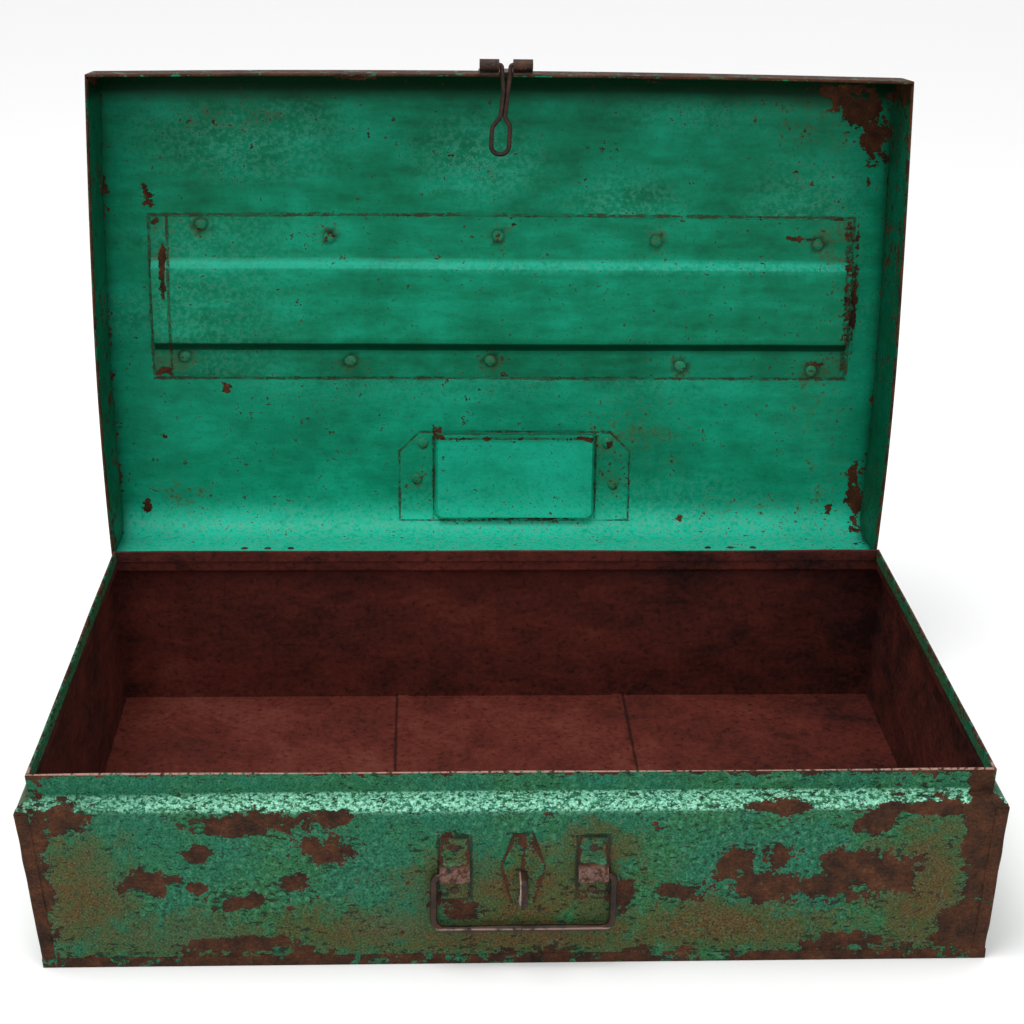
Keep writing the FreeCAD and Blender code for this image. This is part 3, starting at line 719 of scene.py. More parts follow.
def frontWear(points):
    x, z = points[:, 0], points[:, 2]
    value = 0.12 + blobs(x, z, frontRust)
    value = np.maximum(value, 0.62 - np.abs(z - trunk["lipTop"]) * 180)
    value = np.maximum(value, 0.50 * (1 - ease(z, 0.005, 0.018)))
    shoulderBand = ease(x, 0.06, 0.22) * ease(z, 0.092, 0.101) * (1 - ease(z, 0.1035, 0.1075))
    value += 0.10 * shoulderBand + 0.20 * ease(x, 0.06, 0.20) * ease(z, 0.1085, 0.112)
    value += 0.42 * ease(x, 0.258, 0.274) + 0.42 * ease(-x, 0.264, 0.277)
    lip = ease(z, 0.110, 0.113)
    value -= lip * 0.12 * (z < trunk["lipTop"] - 0.002)
    return value


def frontStain(points):
    x, z = points[:, 0], points[:, 2]
    spots = ((-0.255, 0.050, 0.030, 0.042), (0.00, 0.048, 0.066, 0.030), (0.12, 0.025, 0.07, 0.02),
             (-0.20, 0.020, 0.06, 0.016), (0.24, 0.05, 0.035, 0.05), (-0.09, 0.024, 0.06, 0.016),
             (0.00, 0.018, 0.12, 0.016), (0.045, 0.075, 0.02, 0.02))
    value = 0.95 * blobs(x, z, spots)
    return np.maximum(value, 0.55 * (1 - ease(z, 0.006, 0.026))) * (1 - ease(z, 0.108, 0.112))


# painted highlight along the shoulder's bend, stronger from the left towards the right
def frontShoulderHighlight(points):
    x, z = points[:, 0], points[:, 2]
    band = ease(z, 0.1005, 0.1062) * (1 - ease(z, 0.1092, 0.1112))
    return band * (0.42 + 0.58 * ease(x, -0.25, -0.10))


def frontSea(points):
    # fresher paint on the lip and in a few places low down
    x, z = points[:, 0], points[:, 2]
    spots = ((-0.205, 0.075, 0.03, 0.02), (-0.085, 0.09, 0.03, 0.014), (-0.02, 0.075, 0.012, 0.012),
             (-0.20, 0.022, 0.03, 0.010), (-0.075, 0.038, 0.02, 0.014), (-0.22, 0.088, 0.02, 0.012))
    lip = 0.5 * ease(z, 0.1085, 0.1125) * (1 - 0.7 * ease(x, -0.16, 0.02))
    return np.maximum(lip, 0.6 * blobs(x, z, spots))


def plainWear(seed):
    # scattered patches for the faces that are alike all over
    def rule(points):
        patchy = softNoise(points, 0.045, seed) * 0.5 + softNoise(points, 0.11, seed + 1) * 0.3
        value = 0.16 + 0.42 * np.clip(patchy, 0, 1)
        z = points[:, 2]
        value = np.maximum(value, 0.62 - np.abs(z - trunk["lipTop"]) * 180)
        value = np.maximum(value, 0.45 * (1 - ease(z, 0.004, 0.020)))
        return value
    return rule


def plainStain(points):
    return 0.35 + 0.35 * softNoise(points, 0.09, 21)


def lipSea(points):
    return 0.4 * ease(points[:, 2], 0.1085, 0.1125)


def plainMarks(seed):
    return ("rust", plainWear(seed)), ("stain", plainStain), ("sea", lipSea)


def nothing(points):
    return np.zeros(len(points))


def wallShade(points):
    # walls darken to the right and at both ends
    ends = ease(np.abs(points[:, 0]), 0.268, 0.274)
    return 0.50 + 0.35 * ease(points[:, 0], 0.05, 0.20) + 0.35 * ends


# Body walls


def wallProfile(inset):
    # a wall's section from foot to folded hem, as (inwards, up), and which of its points are in the fold
    middle, top, fold = trunk["wall"] / 2, trunk["lipTop"], trunk["hemGap"]
    lipMiddle = inset + middle
    corners = [
        ((middle, 0.0), 0),
        ((middle, trunk["shoulder"] - middle), trunk["shoulderBend"]),
        ((lipMiddle, trunk["shoulder"] - middle), trunk["lipBend"]),
        ((lipMiddle, top - middle), fold * 0.45),
        ((lipMiddle + fold, top - middle), fold * 0.45),
        ((lipMiddle + fold, top - trunk["hem"]), 0),
    ]
    line = bendPath(corners, trunk["grid"])
    return *bothSides(line, trunk["wall"]), line[:, 0] > lipMiddle + fold * 0.4


def leanAt(side, y):
    # how far an end wall goes out for each metre up; the left one leans less towards the back
    if side > 0:
        return trunk["leanRight"] + 0 * y
    toBack = np.clip((y + faceFront) / (2 * faceFront), 0, 1)
    return trunk["leanLeft"] * (1 - (1 - trunk["backLeanShare"]) * toBack)


def onWall(points, side, isEnd):
    # from (along, inwards, up) on a flat wall to its place on the trunk
    along, inwards, up = points.T
    if isEnd:
        return np.stack([side * (faceEnd - inwards + leanAt(side, along) * up), along, up], axis=1)
    return np.stack([along, side * (faceFront - inwards), up], axis=1)


def paintFolds(faces, sides, folded):
    # a folded hem shows the sheet's other face, and its cut edges have the outside's paint
    return [1 if side == 0 and folded[face[0] % len(folded)] else side % 2
            for face, side in zip(faces, sides)]


def bodyPanel(name, side, isEnd, dentSeed, rimSeed, marks):
    insets, reach, leans = (trunk["lipInsetEnd"], trunk["lipInsetFront"]), faceFront, (0, 0)
    if not isEnd:
        insets, reach = insets[::-1], faceEnd
        leans = [leanAt(end, side * faceFront) for end in (-1, 1)]
    outer, inner, folded = wallProfile(insets[0])
    share = np.linspace(-1, 1, int(2 * reach / trunk["grid"]))[:, None]
    grids = []
    for face in (outer, inner):
        half = reach - face[:, 0] * insets[1] / insets[0]
        start, end = -half - leans[0] * face[:, 1], half + leans[1] * face[:, 1]
        flat = gridPoints(start + (end - start) * (share + 1) / 2, face[:, 0], face[:, 1])
        push = dents(flat, dentSeed, isEnd) * trunk["dentDepth"]
        flat[:, 2] += trunk["rimWave"] * softNoise(flat, 0.06, rimSeed) * ease(flat[:, 2], 0.112, 0.124)
        flat[:, 1] += push
        grids.append(onWall(flat, side, isEnd).reshape(len(share), -1, 3))
    points, faces, sides = slab(*grids)
    sides = paintFolds(faces, sides, folded & (not isEnd))
    makePiece(name + "Sheet", (points, faces, sides), (outerPaint, innerPaint), "trunk", name,
              (*marks, ("shade", wallShade)))


def dents(flat, seed, isEnd):
    # shallow dents, none near the edges or behind the front's fittings
    beaten = softNoise(flat, 0.11, seed) * 0.7 + softNoise(flat, 0.04, seed + 7) * 0.45
    value = np.clip(0.45 + 0.55 * beaten, 0, 1.2)
    value *= ease(flat[:, 2], 0.004, 0.035) * (1 - ease(flat[:, 2], 0.098, 0.108))
    reach = np.abs(flat[:, 0])
    value *= 1 - ease(reach, (faceFront if isEnd else faceEnd) - 0.05, faceFront + 0.06)
    if not isEnd:
        value *= np.maximum(ease(reach, 0.055, 0.09), ease(np.abs(flat[:, 2] - 0.06), 0.033, 0.045))
    return value


frontMarks = (("rust", frontWear), ("stain", frontStain), ("pale", frontShoulderHighlight), ("sea", frontSea))
bodyPanel("front_panel", -1, False, 31, 41, frontMarks)
bodyPanel("back_panel", 1, False, 33, 42, plainMarks(51))
bodyPanel("left_end_panel", -1, True, 35, 43, plainMarks(53))
bodyPanel("right_end_panel", 1, True, 37, 44, plainMarks(55))
print("body walls made")

floorPlan = {
    "seamLeft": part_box("floor_left")[1].x,
    "seamRight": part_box("floor_right")[0].x,
    "lap": 0.008,
    "wave": 0.0007,
    "grid": 0.006,
}


def floorSheet(name, seed, *corners):
    # a sheet bent along X and run from front to back, rippled away from its edges and seams
    line = bendPath([(corner, 0) for corner in corners], floorPlan["grid"])
    low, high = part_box(name)
    rows = np.linspace(low.y, high.y, int((high.y - low.y) / floorPlan["grid"]))
    grids = []
    for side in bothSides(line, trunk["wall"]):
        flat = gridPoints(side[:, 0], rows[:, None], side[:, 1])
        lift = floorPlan["wave"] * (1 + softNoise(flat, 0.07, seed))
        lift *= ease(faceFront - np.abs(flat[:, 1]), 0.0, 0.03)
        lift *= ease(faceEnd - np.abs(flat[:, 0]), 0.0, 0.03)
        for seam in (floorPlan["seamLeft"], floorPlan["seamRight"]):
            lift *= ease(np.abs(flat[:, 0] - seam), 0.010, 0.03)
        flat[:, 2] += lift
        grids.append(flat.reshape(len(rows), -1, 3))
    marks = (("shade", lambda p: 0.5 * ease(p[:, 0], 0.10, 0.26)),)
    makePiece(name + "Plate", slab(*grids), (innerPaint,), "trunk", name, marks)


def wholeFloor():
    # the middle sheet laps over both its neighbours
    onBottom, onSheet = trunk["wall"] / 2, trunk["wall"] * 3 / 2
    end = faceEnd - trunk["wall"]
    left, right, lap = floorPlan["seamLeft"], floorPlan["seamRight"], floorPlan["lap"]
    floorSheet("floor_left", 61, (-end, onBottom), (left, onBottom))
    floorSheet("floor_right", 62, (right, onBottom), (end, onBottom))
    floorSheet("floor_middle", 63, (left - lap, onSheet), (left - 0.0005, onSheet), (left + 0.001, onBottom),
               (right - 0.001, onBottom), (right + 0.0005, onSheet), (right + lap, onSheet))


wholeFloor()
print("floor made")


def edgeWear(points):
    return 0.66 + 0.16 * softNoise(points, 0.03, 71)


def bottomStrip(name):
    # the folded bottom seam: a low bead that stands just proud of the wall
    low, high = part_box(name)
    alongX = high.x - low.x > high.y - low.y
    axis, across = (0, 1) if alongX else (1, 0)
    along = np.linspace(low[axis], high[axis], int((high[axis] - low[axis]) / 0.006))[:, None]
    onWall, far = low[across], high[across]
    if low[across] + high[across] < 0:
        onWall, far = far, onWall
    ups = np.array([0.0, 0.0006, 0.002, 0.0035, 0.005, high.z - 0.0005, high.z])
    bulge = np.array([0.35, 0.85, 1.0, 0.95, 1.0, 0.8, 0.2])
    grids = []
    for push in (bulge, 0 * bulge):
        depth = onWall + (far - onWall) * push
        flat = gridPoints(along, depth, ups) if alongX else gridPoints(depth, along, ups)
        flat[:, 2] += 0.0004 * softNoise(flat, 0.025, 73) * ease(flat[:, 2], 0.003, high.z)
        if not alongX:
            side = np.sign(low.x)
            proud = (np.abs(flat[:, 0]) - faceEnd) * trunk["wall"] / (high.x - low.x)
            flat[:, 0] = side * (faceEnd + leanAt(side, flat[:, 1]) * flat[:, 2] + proud)
        grids.append(flat.reshape(len(along), -1, 3))
    marks = (("rust", edgeWear), ("stain", plainStain))
    makePiece(name + "Bead", slab(*grids), (outerPaint,), "trunk", name, marks)


def cornerStrip(name):
    # an upright folded strip, rounded over the corner and dressed down by hammer
    low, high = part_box(name)
    xSide = -1 if low.x < 0 else 1
    ySide = -1 if low.y < 0 else 1
    wall, leg = trunk["wall"], trunk["cornerLeg"]
    line = bendPath([((leg, wall / 2), 0), ((wall / 2, wall / 2), 0.0012), ((wall / 2, leg), 0)], 0.0016)
    rows = np.linspace(low.z, high.z, 40)[:, None]
    corner = trunk["halfWidth"] + leanAt(xSide, ySide * faceFront) * rows
    grids = []
    for side in bothSides(line, wall):
        flat = gridPoints(xSide * (corner - side[:, 0]), ySide * (trunk["halfDepth"] - side[:, 1]), rows)
        dressed = 0.0003 * (1 + softNoise(flat, 0.012, 75))
        flat[:, 0] -= xSide * dressed
        flat[:, 1] -= ySide * dressed
        grids.append(flat.reshape(len(rows), -1, 3))
    marks = (("rust", lambda p: 0.16 + edgeWear(p)), ("stain", plainStain))
    makePiece(name + "Fold", slab(*grids), (outerPaint,), "trunk", name, marks)


for node in sorted(frame["nodes"]):
    if node.startswith("bottom_strip"):
        bottomStrip(node)
    if node.startswith("corner_strip"):
        cornerStrip(node)
print("edges made")

# Lid, drawn shut and swung open


def lidProfile():
    # the lid's section from front hem to rear hem, as (y, z)
    mid, fold = trunk["wall"] / 2, trunk["hemGap"]
    front, back = lid["front"] + mid, lid["back"] - mid
    foot, top, hemTop = lid["rim"] + mid, lid["crown"] - mid, lid["rim"] + lid["hem"]
    return bendPath([
        ((front + fold, hemTop), 0),
        ((front + fold, foot), fold * 0.45),
        ((front, foot), fold * 0.45),
        ((front, top), lid["frontBend"] - mid),
        ((back, top), lid["backBend"] - mid),
        ((back, foot), fold * 0.45),
        ((back - fold, foot), fold * 0.45),
        ((back - fold, hemTop), 0),
    ], trunk["grid"])


lidRivets = (
    (-0.218, 0.235), (-0.125, 0.2255), (-0.002, 0.227), (0.114, 0.224), (0.234, 0.2225), (-0.233, 0.1365),
    (-0.111, 0.1335), (-0.007, 0.134), (0.135, 0.130), (0.234, 0.1265), (-0.0618, 0.0425), (0.0868, 0.0385),
    (-0.057, 0.0705), (0.082, 0.0695),
)


def nearRivets(points, size):
    # 1 at the middle of each rivet inside the lid, fading over size
    return blobs(points[:, 0], lid["back"] - points[:, 1], [(x, s, size, size) for x, s in lidRivets])


def rivetRings(points):
    # a dark ring on the sheet round each rivet
    return 0.80 * ease(nearRivets(points, 0.0058), 0.44, 0.58)


def lidInsideWear(points):
    x, s, z = points[:, 0], lid["back"] - points[:, 1], points[:, 2]
    spots = ((0.082, 0.293, 0.004, 0.0035), (0.139, 0.013, 0.0035, 0.003), (0.260, 0.322, 0.013, 0.011),
             (0.272, 0.300, 0.006, 0.02), (0.245, 0.336, 0.016, 0.004), (0.264, 0.180, 0.002, 0.050),
             (-0.203, 0.113, 0.003, 0.003), (0.276, 0.030, 0.005, 0.018), (0.257, 0.020, 0.004, 0.005),
             (0.020, 0.010, 0.003, 0.0015), (-0.047, 0.080, 0.0035, 0.003), (-0.255, 0.250, 0.004, 0.003),
             (-0.258, 0.262, 0.003, 0.004), (0.247, 0.240, 0.005, 0.0015), (0.240, 0.128, 0.010, 0.0015),
             (-0.27, 0.02, 0.004, 0.006), (-0.10, 0.342, 0.02, 0.002), (0.10, 0.343, 0.02, 0.002))
    value = 0.07 + 0.9 * blobs(x, s, spots) + 0.06 * softNoise(points, 0.07, 87)
    value += 0.10 * ease(x, 0.16, 0.27) * ease(s, 0.24, 0.33)
    hemBand = 1 - ease(z, lid["rim"] + 0.001, lid["rim"] + 0.006)
    value = np.maximum(value, 0.66 * hemBand)
    corner = ease(np.abs(x - lid["middle"]), lid["halfWidth"] - 0.007, lid["halfWidth"] - 0.001)
    return np.maximum(value, 0.42 * corner)


def lidInsideStain(points):
    x, s = points[:, 0], lid["back"] - points[:, 1]
    spots = ((0.24, 0.32, 0.07, 0.05), (0.10, 0.08, 0.05, 0.03), (-0.19, 0.315, 0.05, 0.016),
             (0.24, 0.10, 0.03, 0.04), (0.255, 0.035, 0.035, 0.035), (-0.24, 0.03, 0.03, 0.02),
             (-0.003, 0.272, 0.008, 0.012), (0.03, 0.012, 0.06, 0.008), (0.20, 0.02, 0.06, 0.015),
             (-0.10, 0.335, 0.08, 0.008))
    low = 1 - ease(points[:, 2], lid["rim"], lid["rim"] + 0.022)
    return 0.44 * blobs(x, s, spots) + 0.3 * low + 0.55 * nearRivets(points, 0.0075) + 0.10


# painted highlight on the rear wall, which faces up towards the lamp, with pale streaks and spots; none where
# there is painted shade
def lidInsidePale(points):
    x, s, z = points[:, 0], lid["back"] - points[:, 1], points[:, 2]
    rearWall = 1 - ease(s, 0.002, 0.032)
    spots = ((-0.18, 0.30, 0.05, 0.02), (-0.02, 0.285, 0.03, 0.02), (0.09, 0.245, 0.03, 0.02),
             (-0.09, 0.19, 0.06, 0.02), (0.12, 0.15, 0.04, 0.03), (0.22, 0.22, 0.03, 0.04))
    bands = ease(np.abs(softNoise(points * (0.35, 1, 1), 0.05, 81)), 0.2, 0.7)
    value = 0.20 * bands + 0.8 * rearWall * ease(z, 0.112, 0.125) + 0.45 * blobs(x, s, spots)
    return value * (1 - lidShadeAndDirt(points))


# painted shade: dark on the lid's front wall, which faces down away from the lamp, at the inner ends and the
# front corners, and a dark ring round each rivet
def lidShadeAndDirt(points):
    x, s = points[:, 0], lid["back"] - points[:, 1]
    frontWall = ease(s, 0.318, 0.334)
    leftEnd = 0.55 * ease(-x, 0.281, 0.2875)
    rightEnd = 0.66 * ease(x, 0.276, 0.2826)
    corners = 0.55 * ease(s, 0.30, 0.345) * ease(np.abs(x), 0.20, 0.28)
    return np.maximum.reduce([0.99 * frontWall, leftEnd, rightEnd, corners, rivetRings(points)])


def lidPaintedLight(points):
    # painted light: the paint is brighter low down, on the rear wall, which faces up towards the lamp, and in
    # the pocket
    x, y, z = points[:, 0], points[:, 1], points[:, 2]
    s = lid["back"] - y
    rear = (0.9 + 0.1 * ease(-x, 0.0, 0.2)) * (1 - ease(s, 0.001, 0.030)) + 0.25 * (1 - ease(s, 0.01, 0.05))
    low = 0.14 * (1 - ease(s, 0.12, 0.22))
    inPocket = (x > -0.049) & (x < 0.073) & (y > 0.0965) & (z < lid["ceiling"] - 0.004)
    return np.clip(rear + low + 0.40 * inPocket, 0, 1) * (0.85 + 0.15 * softNoise(points, 0.04, 88))


def lidOutsideWear(points):
    patchy = softNoise(points, 0.05, 83) * 0.5 + softNoise(points, 0.12, 84) * 0.3
    value = 0.20 + 0.46 * np.clip(patchy, 0, 1)
    hemBand = 1 - ease(points[:, 2], lid["rim"] + 0.001, lid["rim"] + 0.006)
    frontWall = ease(-points[:, 1], -lid["front"] - 0.010, -lid["front"] - 0.002)
    return np.maximum.reduce([value, 0.64 * hemBand, 0.68 * frontWall])


def lidOutsideStain(points):
    return 0.22 + 0.35 * softNoise(points, 0.08, 89)


def eachFace(count, rules):
    # the first count points take each mark's first rule, the rest its second
    def joined(outside, inside):
        return lambda p: np.concatenate([outside(p[:count]), inside(p[count:])])
    return [(name, joined(*pair)) for name, pair in rules.items()]


def lidSkin():
    wall, line = trunk["wall"], lidProfile()
    along = np.linspace(lid["left"] + wall, lid["right"] - wall, 116)[:, None]
    grids = [gridPoints(along, side[:, 0], side[:, 1]).reshape(len(along), -1, 3)
             for side in bothSides(line, wall)]
    # the face that looks out of the lid comes first
    grids.sort(key=lambda grid: -grid[0, len(line) // 2, 2])
    points, faces, sides = slab(*grids)
    near = wall + 0.0002
    folded = (line[:, 1] < lid["rim"] + lid["hem"] + 1e-4) & (line[:, 0] > lid["front"] + near)
    folded &= line[:, 0] < lid["back"] - near
    # the inside takes painted light and painted highlight on the rear wall, and painted shade on the front
    # wall and ends
    marks = eachFace(len(points) // 2, {
        "rust": (lidOutsideWear, lidInsideWear), "stain": (lidOutsideStain, lidInsideStain),
        "pale": (nothing, lidInsidePale), "grime": (nothing, lidShadeAndDirt), "fresh": (nothing, lidPaintedLight)})
    makePiece("lidSheet", (points, faces, paintFolds(faces, sides, folded)), (outerPaint, lidPaint), "lid",
              "lid_skin", marks, drawnShut=True)


def lidEnd(name, side):
    # a plate whose edge follows the lid's section, with a fold that doubles the rim
    front, back, rim, crown = (lid[k] for k in ("front", "back", "rim", "crown"))
    corners = [((front, rim), 0), ((front, crown), lid["frontBend"]), ((back, crown), lid["backBend"]),
               ((back, rim), 0)]
    outline = bendPath(corners, trunk["grid"])
    spread = np.cumsum(np.r_[0, np.linalg.norm(np.diff(outline, axis=0), axis=1)])
    count = 90
    even = np.linspace(0, spread[-1], count)
    edge = [np.interp(even, spread, outline[:, k])[:, None] for k in range(2)]
    foot = np.linspace(front, back, count)[:, None]
    shares = np.linspace(0, 1, 16)
    outX, inX = lid["halfWidth"], lid["halfWidth"] - trunk["wall"]
    grids = []
    for x in (outX, inX):
        flat = gridPoints(lid["middle"] + side * x, foot * (1 - shares) + edge[0] * shares,
                          rim * (1 - shares) + edge[1] * shares)
        ribs = 0.0006 * (1 + softNoise(flat, 0.04, 86))
        quiet = ease(flat[:, 2], rim + 0.008, rim + 0.02) * np.tile(ease(1 - shares, 0.02, 0.2), count)
        flat[:, 0] -= side * ribs * quiet
        grids.append(flat.reshape(count, -1, 3))
    points, faces, sides = slab(*grids)
    plate = points, faces, [side % 2 for side in sides]
    rimLine = np.linspace(front + 0.003, back - 0.003, 80)[:, None]
    ups = np.array([0, 0.001, 0.003, 0.0055, lid["hem"] - 0.0004, lid["hem"]])
    bulge = np.array([0.6, 1.0, 1.0, 0.9, 0.95, 0.3]) * trunk["wall"] * 1.3
    folds = [gridPoints(lid["middle"] + side * (inX + 0.0001 - bulge * thick), rimLine, rim + ups)
             .reshape(len(rimLine), -1, 3) for thick in (0, 1)]
    points, faces, sides = slab(*folds)
    hem = points, faces, [1] * len(faces)

    def endWear(points):
        seam = 1 - ease(crown - points[:, 2], 0.001, 0.006)
        frontCorner = ease(back - points[:, 1], 0.325, 0.345) * (0.5 if side > 0 else 0.3)
        return np.maximum(lidOutsideWear(points), 0.5 * seam) + frontCorner

    # painted shade on the inner ends and front corners, and dark rings round the rivets
    marks = (("rust", endWear), ("stain", lidInsideStain), ("grime", lidShadeAndDirt))
    makePiece(name + "Plate", together(plate, hem), (outerPaint, lidPaint), "lid", name, marks,
              drawnShut=True)


lidSkin()
lidEnd("lid_left_end", -1)
lidEnd("lid_right_end", 1)
print("lid made")

band = {
    "middle": 0.002,
    "long": 0.516,
    "front": -0.070,
    "back": 0.051,
    "fold": -0.243,
    "rise": 0.0055,
    "wave": 0.0005,
}


def lidChannel():
    # a flat-topped channel along the lid, trimmed by hand: its ends and edges wander and its height ripples
    wall, ceiling = trunk["wall"], lid["ceiling"]
    front, back, half = band["front"], band["back"], band["long"] / 2
    top = ceiling - wall / 2
    low = top - band["rise"]
    line = bendPath([
        ((back, top), 0), ((0.0297, top), 0.0015), ((0.0243, low), 0.002),
        ((-0.0315, low), 0.002), ((-0.0390, top), 0.002), ((front, top), 0),
    ], 0.004)
    along = np.linspace(band["middle"] - half, band["middle"] + half, 130)
    along = np.unique(np.r_[along, np.linspace(band["fold"] - 0.0035, band["fold"] + 0.0035, 9)])[:, None]
    grids = []
    for side in bothSides(line, wall):
        flat = gridPoints(along, side[:, 0], side[:, 1])
        past = (flat[:, 0] - band["middle"]) / half
        flat[:, 0] -= 0.0022 * past * (1 + softNoise(flat, 0.03, 91)) * 0.5
        rim = 1 - ease(np.minimum(back - flat[:, 1], flat[:, 1] - front), 0.0, 0.012)
        flat[:, 1] -= np.sign(flat[:, 1]) * rim * 0.0009 * (1 + softNoise(flat, 0.06, 92))
        onBand = ease(ceiling - flat[:, 2], 0.0025, 0.0055)
        flat[:, 2] += band["wave"] * (1 + softNoise(flat, 0.05, 93)) * onBand
        flat[:, 2] += 0.0007 * np.exp(-((flat[:, 0] - band["fold"]) / 0.0014) ** 2) * onBand
        grids.append(flat.reshape(len(along), -1, 3))

    def wear(points):
        x, y = points[:, 0], points[:, 1]
        spots = ((0.257, -0.012, 0.0022, 0.045), (0.236, 0.042, 0.006, 0.004), (-0.250, 0.046, 0.006, 0.002),
                 (-0.252, -0.066, 0.004, 0.003), (0.22, -0.055, 0.012, 0.002), (-0.247, -0.03, 0.002, 0.02))
        rim = np.minimum(back - y, y - front)
        return 0.07 + 0.9 * blobs(x, y, spots) + 0.28 * (1 - ease(rim, 0.0, 0.002))

    def stain(points):
        crease = 1 - ease(np.abs(points[:, 1] + 0.0395), 0.0, 0.006)
        flange = 0.16 * ease(np.abs(points[:, 1] + 0.0095), 0.038, 0.050)
        ends = 0.3 * ease(np.abs(points[:, 0]), 0.22, 0.256)
        return 0.12 + 0.22 * crease + ends + 0.5 * nearRivets(points, 0.0078) + flange

    # painted highlight on the slope that faces up, stronger to the right, and paler towards the left end
    def pale(points):
        crease = 1 - ease(np.abs(points[:, 1] + 0.0335), 0, 0.004)
        return 0.75 * crease * ease(points[:, 0], -0.18, 0.0) + 0.25 * ease(-points[:, 0], 0.1, 0.24)

    # painted shade on the step that faces down, lighter on the flange beyond it, and dark rings round the
    # rivets
    def grime(points):
        flange = ease(points[:, 1], 0.030, 0.037)
        step = 0.86 * (1 - ease(np.abs(points[:, 1] - 0.0270), 0.002, 0.0044))
        return np.maximum.reduce([step, 0.20 * flange, rivetRings(points)])

    # painted light along the slope that faces up
    def fresh(points):
        return 0.02 + 0.60 * (1 - ease(np.abs(points[:, 1] + 0.0345), 0.001, 0.005))

    marks = (("rust", wear), ("stain", stain), ("pale", pale), ("grime", grime), ("fresh", fresh))
    makePiece("lidChannelSheet", slab(*grids), (lidPaint,), "lid", "lid_channel", marks,
              drawnShut=True)


# a pocket on the lid's inner face, with the lid shut
pouch = {
    "left": -0.049,
    "right": 0.073,
    "mouth": 0.0965,
    "foot": 0.1605,
    "rise": 0.008,
    "corner": 0.006,
    "ear": 0.0255,
}


def lidPocket():
    # a low tray: its floor grid dips from the rim wall, with ears that lie on the lid
    wall, ceiling = trunk["wall"], lid["ceiling"]
    left, right, mouth, foot = (pouch[k] for k in ("left", "right", "mouth", "foot"))
    rise, bend, ear = (pouch[k] for k in ("rise", "corner", "ear"))
    front = mouth - 0.0035
    xs = np.unique(np.r_[np.linspace(left - ear, left - 0.0006, 9), np.linspace(left, left + 0.008, 9),
                         np.linspace(left + 0.008, right - 0.008, 26), np.linspace(right - 0.008, right, 9),
                         np.linspace(right + 0.0006, right + ear, 9)])
    ys = np.unique(np.r_[np.linspace(front, mouth + 0.01, 5), np.linspace(mouth + 0.01, foot - 0.008, 14),
                         np.linspace(foot - 0.008, foot, 9)])
    x, y = np.meshgrid(xs, ys, indexing="ij")

    def inset(x, y):
        # how far inside the tray's rounded outline a point is
        side, back = np.minimum(x - left, right - x), foot - y
        nearX, nearY = np.clip(bend - side, 0, None), np.clip(bend - back, 0, None)
        rounded = bend - np.sqrt(nearX ** 2 + nearY ** 2)
        return np.where((nearX > 0) & (nearY > 0), rounded, np.minimum(side, back))

    drop = rise * ease(inset(x, y), -0.0002, 0.0032)
    curve = np.clip(y - (lid["back"] - lid["backBend"]), 0, None)
    innerBend = lid["backBend"] - wall
    roof = ceiling - (innerBend - np.sqrt(np.clip(innerBend ** 2 - curve ** 2, 0, None)))
    low = np.minimum(ceiling - drop, roof - 0.0001)
    ripple = 0.0003 * (1 + softNoise(gridPoints(x, y, low), 0.03, 95)).reshape(x.shape)
    low = np.where(drop > 0.006, low + ripple, low)
    top = np.minimum(low + wall, roof)
    low = np.minimum(low, top - 0.0004) - np.where(drop < 1e-5, wall * 0.6, 0)
    # the ears' front corners are cut back
    cut = 0.015
    past = np.clip(np.maximum(left - ear + cut - x, x - (right + ear - cut)) / cut, 0, 1)
    for near in (True, False):
        y = np.where((y < mouth + 0.03) == near, foot - (foot - y) * (1 - past * cut / (foot - front)), y)

    def wear(points):
        x, y = points[:, 0], points[:, 1]
        lip = 1 - ease(np.abs(y - mouth), 0.0, 0.003)
        onTray = ease(np.minimum(x - left, right - x), 0.0, 0.006)
        spots = ((-0.047, 0.0925, 0.004, 0.003), (0.066, 0.097, 0.004, 0.002), (0.02, 0.159, 0.03, 0.001))
        return 0.08 + 0.36 * lip * onTray + 0.8 * blobs(x, y, spots)

    def stain(points):
        return 0.24 + 0.2 * softNoise(points, 0.05, 97) + 0.4 * nearRivets(points, 0.0078)

    # painted light: the tray grows paler towards its foot
    def pale(points):
        return 0.35 * ease(points[:, 1], mouth + 0.02, foot)

    grids = [gridPoints(x, y, height).reshape(*x.shape, 3) for height in (low, top)]
    marks = (("rust", wear), ("stain", stain), ("pale", pale), ("fresh", lidPaintedLight))
    makePiece("lidPocketTray", slab(*grids), (lidPaint,), "lid", "lid_pocket", marks,
              drawnShut=True)


lidChannel()
lidPocket()
print("lid fittings made")


def separateHeads(name):
    # the corner points of each separate head in one of the frame's nodes
    work = bmesh.new()
    work.from_mesh(frame["nodes"][name].data)
    bmesh.ops.remove_doubles(work, verts=work.verts, dist=1e-6)
    seen, heads = set(), []
    for start in work.verts:
        if start in seen:
            continue
        group, queue = [], [start]
        seen.add(start)
        while queue:
            vert = queue.pop()
            group.append(tuple(vert.co))
            for edge in vert.link_edges:
                other = edge.other_vert(vert)
                if other not in seen:
                    seen.add(other)
                    queue.append(other)
        heads.append(np.array(group))
    work.free()
    return heads


